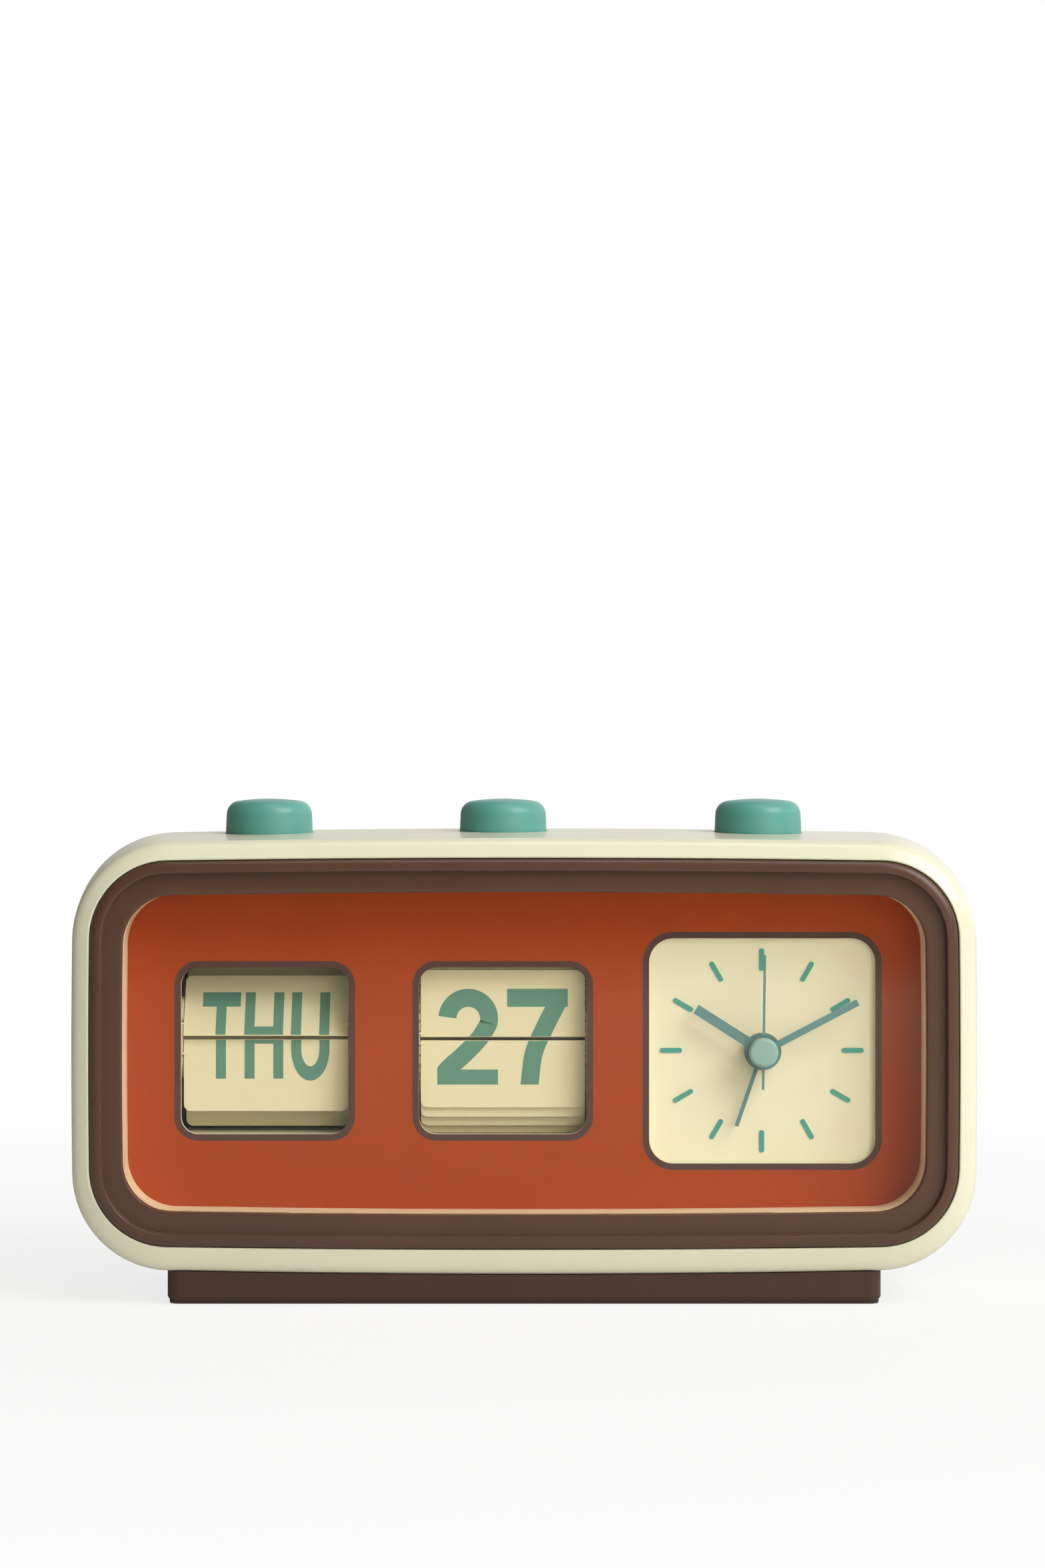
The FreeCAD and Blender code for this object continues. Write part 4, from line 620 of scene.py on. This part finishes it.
def hole_loop(part, first, columns, hole_x, hole):
    """Indices of the grid points round a hole's square, in one order whichever way the rows run."""
    depths = part[:, 0, 1]
    rows = np.flatnonzero(abs(depths - BUTTON_DEPTH) < hole + 1e-6)
    rows = rows[np.argsort(depths[rows])]
    across = part[rows[0], :, 0]
    top = part[rows[0], :, 2] > TOP_SKIN_Z
    cols = np.flatnonzero(top & (abs(across - hole_x) < hole + 1e-4))
    front = [(rows[0], c) for c in cols]
    left = [(r, cols[-1]) for r in rows[1:]]
    back = [(rows[-1], c) for c in cols[::-1][1:]]
    right = [(r, cols[0]) for r in rows[::-1][1:-1]]
    return np.array([(first + r) * columns + c for r, c in front + left + back + right])


def revolved(profile, x, depth, steps, close=False):
    """Profile of (radius, height) points turned about an upright axis: every point times cos and sin of the turn."""
    profile = np.asarray(profile, float)
    turn = np.linspace(0, 2 * np.pi, steps, endpoint=False)
    radius, height = profile[:, :1], profile[:, 1:]
    points = np.stack([x + radius * np.cos(turn), depth + radius * np.sin(turn),
                       np.broadcast_to(height, (len(profile), steps))], axis=2)
    return points.reshape(-1, 3), ring_faces(len(profile), steps, close)


def arc_points(centre, radius, start, end, steps):
    """(a, b) points along an arc, angles in degrees."""
    t = np.radians(np.linspace(start, end, steps))
    return np.stack([centre[0] + radius * np.cos(t), centre[1] + radius * np.sin(t)], axis=1)


# ---------------------------------------------------------------- bezel
def bezel():
    """Bezel as rings carried round one closed profile: domed outer ring, step, rising inner band and lens seat.

    The dome is a quarter of an ellipse, DOME[0] * cos(t) across and DOME[1] * sin(t) deep. The short flat stretches
    between the profile's parts keep the shading of each from bending the next.
    """
    corner = np.linspace(0, np.pi / 2, FILLET_RUN)
    edge = BEZEL_EDGE
    across, deep = DOME
    rows = [
        # outer wall
        frame_ring(BEZEL, np.zeros(2), np.array([LEDGE_FRONT, BEZEL_FRONT + deep + 0.3])),
        # dome, and the round from its top down to the step
        frame_ring(BEZEL, -across * (1 - np.cos(corner)), BEZEL_FRONT + deep * (1 - np.sin(corner))),
        frame_ring(BEZEL, -OUTER_RING + edge * (1 - np.sin(corner)),
                   BEZEL_FRONT + edge * (1 - np.cos(corner))),
        # foot of the step
        frame_ring(BEZEL, np.array([-OUTER_RING, -OUTER_RING - 0.12, -OUTER_RING - 0.5]),
                   STEP_DEPTH + BAND_RISE + np.array([-0.15, 0.0, 0.0])),
        # inner end of the band, and the round at the opening
        frame_ring(VIEW, np.array([0.8 + edge, edge]), STEP_DEPTH + np.array([0.04, 0.0])),
        frame_ring(VIEW, edge * (1 - np.sin(corner)), STEP_DEPTH + edge * (1 - np.cos(corner))),
        # opening's wall and the lens's seat
        frame_ring(VIEW, np.array([0.0, 0.0, LENS_LAP, LENS_LAP]),
                   np.array([LENS_FRONT - 0.2, LENS_FRONT, LENS_FRONT, LEDGE_FRONT])),
    ]
    grid = np.concatenate(rows)
    faces = ring_faces(grid.shape[0], grid.shape[1], True)
    return make_piece("bezel_ring", grid, faces, "case", MATERIALS["trim_brown"], ["bezel"])


def rounded_outline(size, grow):
    """Points round a straight-sided rounded rectangle grown by grow, counter-clockwise, centred on nought."""
    half_w, half_h, corner = size[0] / 2 + grow, size[1] / 2 + grow, size[2] + grow
    centres = [(half_w - corner, half_h - corner), (corner - half_w, half_h - corner),
               (corner - half_w, corner - half_h), (half_w - corner, corner - half_h)]
    arcs = [arc_points(c, corner, 90 * i, 90 * i + 90, WINDOW_RUN) for i, c in enumerate(centres)]
    return np.concatenate(arcs)


def window_outline(name, x, size):
    """Printed band round a window: two rounded outlines joined as a thin closed ring in front of the panel."""
    rings = []
    front = PANEL_FRONT - PRINT_T
    profile = ((OUTLINE_GAP, PANEL_FRONT), (OUTLINE_GAP, front), (OUTLINE_W, front), (OUTLINE_W, PANEL_FRONT))
    for grow, depth in profile:
        outline = rounded_outline(size, grow)
        rings.append(np.stack([x + outline[:, 0], np.full(len(outline), depth), WINDOW_Z + outline[:, 1]], axis=1))
    grid = np.stack(rings)
    faces = ring_faces(grid.shape[0], grid.shape[1], True)
    return make_piece(name, grid, faces, "case", MATERIALS["outline_brown"])


# ---------------------------------------------------------------- buttons
def push_button(node, x):
    """Button turned about its axis: tapered side, rounded rim, crowned top, hollow underside, stem and flange.

    The top falls as the square of the share of its radius, from a slope of BUTTON_CROWN at the rim.
    """
    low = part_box(node)[0].z / MM
    top_r = BUTTON_R - BUTTON_TAPER
    rim = arc_points((top_r - BUTTON_ROUND, 0), BUTTON_ROUND, 0, 90 - BUTTON_CROWN, RIM_RUN)
    share = np.linspace(1, 0, CROWN_RUN)[1:]
    rise = math.tan(math.radians(BUTTON_CROWN)) * rim[-1, 0] / 2
    rim[:, 1] += BUTTON_TOP - rise - rim[-1, 1]
    crown = np.stack([rim[-1, 0] * share, BUTTON_TOP - rise * share**2], axis=1)
    flange_r = BUTTON_R + BUTTON_GAP + FLANGE_REACH
    flange_top = COLLAR_BOTTOM - FLANGE_GAP
    flange_bottom = COLLAR_BOTTOM - FLANGE_T
    inner_r = BUTTON_R - BUTTON_WALL
    roof = BUTTON_TOP - BUTTON_WALL
    inner_draft = 0.3
    outside = [(STEM_R, low), (STEM_R, roof), (inner_r - inner_draft, roof), (inner_r, flange_bottom),
               (flange_r, flange_bottom), (flange_r, flange_top), (BUTTON_R, flange_top),
               (BUTTON_R - BUTTON_TAPER * 0.5, (BUTTON_TOP + COLLAR_BOTTOM) / 2)]
    profile = np.concatenate([[(0.0, low)], outside, rim, crown])
    points, faces = revolved(profile, x, BUTTON_DEPTH, BUTTON_RUN)
    return make_piece(node + "_cap", points, faces, node + "_body", MATERIALS["button_teal"],
                      [node])


# ---------------------------------------------------------------- print on the cards
def ribbon(points, width):
    """Flat stroke of even width along a line of (x, z) points: each point moved half a width along its normal."""
    points = np.asarray(points, float)
    along = np.gradient(points, axis=0)
    along /= np.linalg.norm(along, axis=1, keepdims=True)
    normal = np.stack([-along[:, 1], along[:, 0]], axis=1)
    left, right = points + normal * width / 2, points - normal * width / 2
    n = len(points)
    i = np.arange(n - 1)
    return np.concatenate([left, right]), np.stack([i, i + 1, n + i + 1, n + i], axis=1)


def bar(x0, x1, z0, z1):
    """Flat rectangle."""
    return np.array([(x0, z0), (x1, z0), (x1, z1), (x0, z1)], float), np.array([[0, 1, 2, 3]])


CAP_TOP = 61.2
CAP_FOOT = 44.0
CAP_STROKE = 2.03                  # width of the upright strokes
CAP_BAR = 2.8                      # height of the lying ones
BOWL_H = 6.4                       # height of the bowl of the U
BOWL_T = 2.9                       # and its thickness at the bottom
BOWL_DROP = 0.4                    # how far it comes below the other letters
ARC_RUN = 24


def letter_t(x0, x1):
    """T between two places across."""
    middle = (x0 + x1) / 2
    return [bar(x0, x1, CAP_TOP - CAP_BAR, CAP_TOP),
            bar(middle - CAP_STROKE / 2, middle + CAP_STROKE / 2, CAP_FOOT, CAP_TOP - CAP_BAR)]


def letter_h(x0, x1):
    """H with its crossbar over the split."""
    return [bar(x0, x0 + CAP_STROKE, CAP_FOOT, CAP_TOP), bar(x1 - CAP_STROKE, x1, CAP_FOOT, CAP_TOP),
            bar(x0 + CAP_STROKE, x1 - CAP_STROKE, SPLIT_Z - 1.0, SPLIT_Z + 2.4)]


def letter_u(x0, x1):
    """U whose bowl lies between two halves of ellipses with one centre."""
    centre = np.array([(x0 + x1) / 2, CAP_FOOT - BOWL_DROP + BOWL_H])
    way = arc_points((0, 0), 1, 180, 360, ARC_RUN)
    reach = np.array([(x1 - x0) / 2, BOWL_H])
    rim, inside = centre + way * reach, centre + way * (reach - (CAP_STROKE, BOWL_T))
    i = np.arange(ARC_RUN - 1)
    bowl = np.concatenate([rim, inside]), np.stack([i, i + 1, ARC_RUN + i + 1, ARC_RUN + i], axis=1)
    return [bar(x0, x0 + CAP_STROKE, centre[1], CAP_TOP), bar(x1 - CAP_STROKE, x1, centre[1], CAP_TOP), bowl]


def letter_f(x0, x1):
    """F with its shorter bar over the split."""
    return [bar(x0, x0 + CAP_STROKE, CAP_FOOT, CAP_TOP), bar(x0 + CAP_STROKE, x1, CAP_TOP - CAP_BAR, CAP_TOP),
            bar(x0 + CAP_STROKE, x1 - 1.2, SPLIT_Z - 0.9, SPLIT_Z + 1.9)]


def letter_r(x0, x1):
    """R with a half-round bowl and a straight leg."""
    bowl_r = (CAP_TOP - SPLIT_Z + 0.6) / 2
    centre = (x1 - bowl_r, CAP_TOP - bowl_r)
    bowl = ribbon(arc_points(centre, bowl_r - CAP_STROKE / 2, 90, -90, ARC_RUN), CAP_STROKE)
    leg = ribbon(np.linspace((x1 - bowl_r, centre[1] - bowl_r + 1), (x1 - CAP_STROKE / 2, CAP_FOOT), 5), CAP_STROKE)
    return [bar(x0, x0 + CAP_STROKE, CAP_FOOT, CAP_TOP), bowl, leg,
            bar(x0 + CAP_STROKE, centre[0], CAP_TOP - CAP_STROKE, CAP_TOP),
            bar(x0 + CAP_STROKE, centre[0], centre[1] - bowl_r, centre[1] - bowl_r + CAP_STROKE)]


def letter_i(x0, x1):
    """I in the middle of its room."""
    middle = (x0 + x1) / 2
    return [bar(middle - CAP_STROKE / 2, middle + CAP_STROKE / 2, CAP_FOOT, CAP_TOP)]


DIGIT_TOP = 62.2
DIGIT_FOOT = 42.8
DIGIT_STROKE = 3.65
DIGIT_FOOT_BAR = 3.05              # height of the foot of the 2
RING_RUN = 48


def smooth_line(stops, steps=40):
    """Catmull-Rom line through the stops: cubic between each two, its slopes from the neighbours."""
    stops = np.asarray(stops, float)
    padded = np.concatenate([[2 * stops[0] - stops[1]], stops, [2 * stops[-1] - stops[-2]]])
    t = np.linspace(0, len(stops) - 1, steps)
    i = np.minimum(t.astype(int), len(stops) - 2)
    u = (t - i)[:, None]
    a, b, c, d = (padded[i + k] for k in range(4))
    return 0.5 * (2 * b + (c - a) * u + (2 * a - 5 * b + 4 * c - d) * u**2 + (3 * b - a - 3 * c + d) * u**3)


def clipped(shape, x_low, z_low):
    """The part of a flat shape that lies right of x_low and above z_low."""
    points, faces = shape
    work = bmesh.new()
    corners = [work.verts.new((x, 0, z)) for x, z in points.tolist()]
    for face in faces.tolist():
        work.faces.new([corners[c] for c in face])
    for place, normal in (((x_low, 0, 0), (1, 0, 0)), ((0, 0, z_low), (0, 0, 1))):
        bmesh.ops.bisect_plane(work, geom=work.verts[:] + work.edges[:] + work.faces[:], plane_co=place,
                               plane_no=normal, clear_inner=True)
    bmesh.ops.triangulate(work, faces=work.faces)
    work.verts.index_update()
    points = np.array([(v.co.x, v.co.z) for v in work.verts])
    faces = np.array([[v.index for v in face.verts] for face in work.faces])
    work.free()
    return points, faces


def digit_two(x0, x1):
    """2: an arc that runs on into a swung neck, cut off at its straight foot."""
    radius = (x1 - x0) / 2 - 0.1
    centre = ((x0 + x1) / 2 + 0.12, DIGIT_TOP - radius)
    bend = arc_points(centre, radius - DIGIT_STROKE / 2, 176, -14, 26)
    tail = smooth_line([bend[-2], bend[-1], (x1 - 3.75, SPLIT_Z + 0.1), (x0 + 5.4, SPLIT_Z - 3.2),
                        (x0 + 1.9, DIGIT_FOOT + 2.9), (x0 + 0.8, DIGIT_FOOT + 0.6)], 50)[10:]
    return [clipped(ribbon(np.concatenate([bend, tail]), DIGIT_STROKE), x0, DIGIT_FOOT),
            bar(x0, x1, DIGIT_FOOT, DIGIT_FOOT + DIGIT_FOOT_BAR)]


def digit_seven(x0, x1):
    """7: a straight bar and a bent stem, cut off at the foot."""
    stem = smooth_line([(x1 - 2.0, DIGIT_TOP - 2.6), (x0 + 7.6, SPLIT_Z + 2.2), (x0 + 5.4, SPLIT_Z - 3.0),
                        (x0 + 4.55, DIGIT_FOOT), (x0 + 4.3, DIGIT_FOOT - 1.5)])
    return [bar(x0, x1, DIGIT_TOP - DIGIT_STROKE, DIGIT_TOP), clipped(ribbon(stem, DIGIT_STROKE), x0, DIGIT_FOOT)]


def digit_eight(x0, x1):
    """8: two rings that share a stroke where they meet."""
    middle = (x0 + x1) / 2
    low_r = (x1 - x0) / 2
    high_r = (DIGIT_TOP - DIGIT_FOOT - 2 * low_r + DIGIT_STROKE) / 2
    return [ribbon(arc_points((middle, height), r - DIGIT_STROKE / 2, 0, 360, RING_RUN), DIGIT_STROKE)
            for height, r in ((DIGIT_FOOT + low_r, low_r), (DIGIT_TOP - high_r, high_r))]


WORDS = {
    "thursday": letter_t(-65.3, -57.6) + letter_h(-56.65, -48.8) + letter_u(-47.2, -39.45),
    "friday": letter_f(-63.3, -56.5) + letter_r(-54.3, -46.5) + letter_i(-44.5, -41.5),
    "twenty_seven": digit_two(-17.6, -5.3) + digit_seven(-3.45, 8.85),
    "twenty_eight": digit_two(-17.6, -5.3) + digit_eight(-3.45, 8.85),
}


def card_plane(unit, index, side):
    """Maps heights seen from the front onto a card: its pin, its slope and the offset of one of its faces.

    index 0 is the standing card, 1 the one behind it and -1 the hanging one. side is -1 for the face that looks
    forwards and 1 for the other.
    """
    step = 360.0 / unit["cards"]
    axle = PIVOT_DEPTH + unit["drum_r"] * math.cos(math.radians(step / 2))
    pin_angle = math.radians(step * (index + 0.5))
    pin_depth = axle - unit["drum_r"] * math.cos(pin_angle)
    pin_z = SPLIT_Z + unit["drum_r"] * math.sin(pin_angle)
    share = max(index, 0) / (unit["cards"] - 1)
    share -= FAN_EASE * math.sin(2 * math.pi * share) / (2 * math.pi)
    lean = 0.0 if index < 0 else math.radians(unit["lean"] + (180 - unit["lean"]) * share)
    offset = side * (unit["card_t"] / 2 + PRINT_T / 2)
    return pin_depth, pin_z, lean, offset


def print_half(name, word, unit_name, index, side, upper, body):
    """One half of a word printed on a card, as thin closed strokes lying on the card's face.

    The strokes end just short of the card's inner edge. A height v along the card lies at
    (pin_depth + v sin lean, pin_z + v cos lean).
    """
    unit = CARD_SETS[unit_name]
    pin_depth, pin_z, lean, offset = card_plane(unit, index, side)
    half_pitch = unit["drum_r"] * math.sin(math.pi / unit["cards"])
    overhang = half_pitch - unit["edge_gap"]
    cut = SPLIT_Z - unit["edge_gap"] - PRINT_GAP
    if upper:
        cut = SPLIT_Z + half_pitch - overhang * math.cos(math.radians(unit["lean"])) + PRINT_GAP
    work = bmesh.new()
    for layer, (points, faces) in enumerate(WORDS[word]):
        corners = [work.verts.new((x, layer, z)) for x, z in points.tolist()]
        for face in faces.tolist():
            work.faces.new([corners[c] for c in face])
    geometry = work.verts[:] + work.edges[:] + work.faces[:]
    bmesh.ops.bisect_plane(work, geom=geometry, plane_co=(0, 0, cut), plane_no=(0, 0, 1),
                           clear_outer=not upper, clear_inner=upper)
    bmesh.ops.triangulate(work, faces=work.faces)
    mesh = bpy.data.meshes.new(name)
    work.to_mesh(mesh)
    work.free()
    flat = np.zeros(len(mesh.vertices) * 3)
    mesh.vertices.foreach_get("co", flat)
    flat = flat.reshape(-1, 3)
    # heights count from the pin of the card that shows this half; only the standing card's print is stretched
    v = flat[:, 2] - SPLIT_Z - (half_pitch if upper else -half_pitch)
    if upper and index == 0:
        v = v / math.cos(lean)
    if side > 0:
        v = -v
    offset = offset + side * LAYER_STEP * flat[:, 1]
    depth = pin_depth + v * math.sin(lean) + offset * math.cos(lean)
    z = pin_z + v * math.cos(lean) - offset * math.sin(lean)
    placed = np.stack([flat[:, 0], LIP_Y + depth, z], axis=1) * MM
    mesh.vertices.foreach_set("co", placed.ravel())
    piece = bpy.data.objects.new(name, mesh)
    bpy.context.scene.collection.objects.link(piece)
    mesh.materials.append(MATERIALS["card_print"])
    ink = piece.modifiers.new("ink", "SOLIDIFY")
    ink.thickness = PRINT_T * MM
    ink.offset = 0.0
    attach(piece, body)
    return piece


# ---------------------------------------------------------------- studio
AMBIENT = (0.035, 0.19)            # level of the room's light from the far left and the far right
FRONT_GLOW = 0.08                  # what the room in front adds to it
WHITE = (1.0, 1.0, 1.0)
WARM = (1.0, 0.9, 0.68)
ROOM_TINT = (1.0, 0.94, 0.78, 1.0)
# place, size, power, colour, and whether glossy surfaces mirror it
LAMPS = {
    "key": ((1.05, -0.95, 1.05), 1.1, 24.0, WHITE, True),
    "top": ((0.2, -0.5, 1.9), 0.8, 6.3, WHITE, True),
    "side": ((1.4, 0.25, 0.45), 0.6, 1.7, WHITE, True),
    "back": ((0.1, 1.5, 0.8), 0.9, 5.5, WHITE, False),
    "front": ((0.4, -1.3, 0.3), 0.5, 3.6, WARM, False),
}
FLOOR_REACH = 6.0                  # metres from the middle to the floor's edge
FLOOR_GREY = 0.86
CAMERA_PLACE = (-0.00033, -0.8955, 0.1037)
CAMERA_LENS = 100
CAMERA_SENSOR = 36


def room():
    """White to the camera and through the lens, a soft uneven light to everything else.

    Glossy surfaces mirror it white behind the clock, most of all to the right.
    """
    world = bpy.data.worlds.new("studio")
    bpy.context.scene.world = world
    world.use_nodes = True
    nodes, links = world.node_tree.nodes, world.node_tree.links
    path = nodes.new("ShaderNodeLightPath")
    away = nodes.new("ShaderNodeSeparateXYZ")
    links.new(nodes.new("ShaderNodeTexCoord").outputs["Generated"], away.inputs["Vector"])
    ambient = maths(nodes, links, "ADD", spread(nodes, links, away.outputs["X"], *AMBIENT, -0.8, 0.8),
                    spread(nodes, links, away.outputs["Y"], FRONT_GLOW, 0.0, -0.9, 0.1))
    behind = spread(nodes, links, away.outputs["Y"], 0.0, 1.0, -0.1, 0.5)
    to_right = spread(nodes, links, away.outputs["X"], 0.25, 1.0, -0.5, 0.2)
    mirrored = maths(nodes, links, "MULTIPLY", path.outputs["Is Glossy Ray"],
                     maths(nodes, links, "MULTIPLY", behind, to_right))
    seen = maths(nodes, links, "MAXIMUM", path.outputs["Is Camera Ray"], path.outputs["Is Transmission Ray"])
    white = maths(nodes, links, "MAXIMUM", seen, mirrored)
    background = nodes["Background"]
    links.new(mix_colours(nodes, links, white, ROOM_TINT, (*WHITE, 1.0)), background.inputs["Color"])
    links.new(maths(nodes, links, "MAXIMUM", white, ambient), background.inputs["Strength"])


def lay_floor():
    """Pale floor that fades into the white round it."""
    mesh = bpy.data.meshes.new("floor")
    mesh.from_pydata([(x * FLOOR_REACH, y * FLOOR_REACH, 0) for x, y in ((-1, -1), (1, -1), (1, 1), (-1, 1))], [],
                     [(0, 1, 2, 3)])
    floor = bpy.data.objects.new("floor", mesh)
    bpy.context.scene.collection.objects.link(floor)
    mat, nodes, links = new_material("floor_white")
    bsdf = nodes["Principled BSDF"]
    bsdf.inputs["Base Color"].default_value = (FLOOR_GREY, FLOOR_GREY, FLOOR_GREY, 1.0)
    bsdf.inputs["Roughness"].default_value = 0.9
    glow = nodes.new("ShaderNodeEmission")
    glow.inputs["Strength"].default_value = 1.0
    path = nodes.new("ShaderNodeLightPath")
    far = nodes.new("ShaderNodeVectorMath")
    far.operation = "LENGTH"
    links.new(nodes.new("ShaderNodeTexCoord").outputs["Object"], far.inputs[0])
    fade = spread(nodes, links, far.outputs["Value"], 0.8, 1.0, 0.15, 0.5)
    share = maths(nodes, links, "MULTIPLY", path.outputs["Is Camera Ray"], fade)
    both = nodes.new("ShaderNodeMixShader")
    links.new(share, both.inputs["Fac"])
    links.new(bsdf.outputs["BSDF"], both.inputs[1])
    links.new(glow.outputs["Emission"], both.inputs[2])
    links.new(both.outputs["Shader"], nodes["Material Output"].inputs["Surface"])
    mesh.materials.append(mat)


def lamp(name, place, size, power, tint, mirrored):
    """Square soft lamp that faces the clock; one that isn't mirrored only fills the shade."""
    light = bpy.data.lights.new(name, "AREA")
    light.size = size
    light.energy = power
    light.color = tint
    holder = bpy.data.objects.new(name, light)
    bpy.context.scene.collection.objects.link(holder)
    holder.location = place
    holder.visible_glossy = mirrored
    away = holder.location - (cad_low + cad_high) / 2
    holder.rotation_mode = "QUATERNION"
    holder.rotation_quaternion = away.to_track_quat("Z", "Y")


def studio():
    """Room, floor, a large soft lamp from the upper right with weaker ones on the other sides, and the camera."""
    scene = bpy.context.scene
    scene.view_settings.view_transform = "Standard"
    room()
    lay_floor()
    for name, settings in LAMPS.items():
        lamp(name, *settings)
    camera = bpy.data.objects.new("camera", bpy.data.cameras.new("camera"))
    scene.collection.objects.link(camera)
    camera.data.lens = CAMERA_LENS
    camera.data.sensor_width = CAMERA_SENSOR
    camera.location = CAMERA_PLACE
    camera.rotation_euler = (math.pi / 2, 0, 0)
    scene.camera = camera


studio()
main_housing()
bezel()
window_outline("day_window_outline", DAY_X, WINDOW)
window_outline("date_window_outline", DATE_X, WINDOW)
window_outline("dial_window_outline", DIAL_X, DIAL_WINDOW)
for node, place in BUTTONS.items():
    push_button(node, place)
for unit_name, word, next_word in (("day", "thursday", "friday"), ("date", "twenty_seven", "twenty_eight")):
    falling, turning = unit_name + "_card_body", unit_name + "_drum_body"
    print_half(unit_name + "_upper_print", word, unit_name, 0, -1, True, falling)
    print_half(unit_name + "_back_print", next_word, unit_name, 0, 1, False, falling)
    print_half(unit_name + "_next_print", next_word, unit_name, 1, -1, True, turning)
    print_half(unit_name + "_lower_print", word, unit_name, -1, -1, False, turning)

for node, shown in frame["nodes"].items():
    if shown.hide_render:
        continue
    if node in FLAT_NODES:
        shown.data.materials.clear()
        shown.data.materials.append(MATERIALS[SLOT_OF_NODE[node]])
    else:
        smooth_copy(node)
for joint in frame["joints"]:
    for spring in joint.get("deforming_nodes", ()):
        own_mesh(bpy.data.objects[spring["node"] + "_finished"])
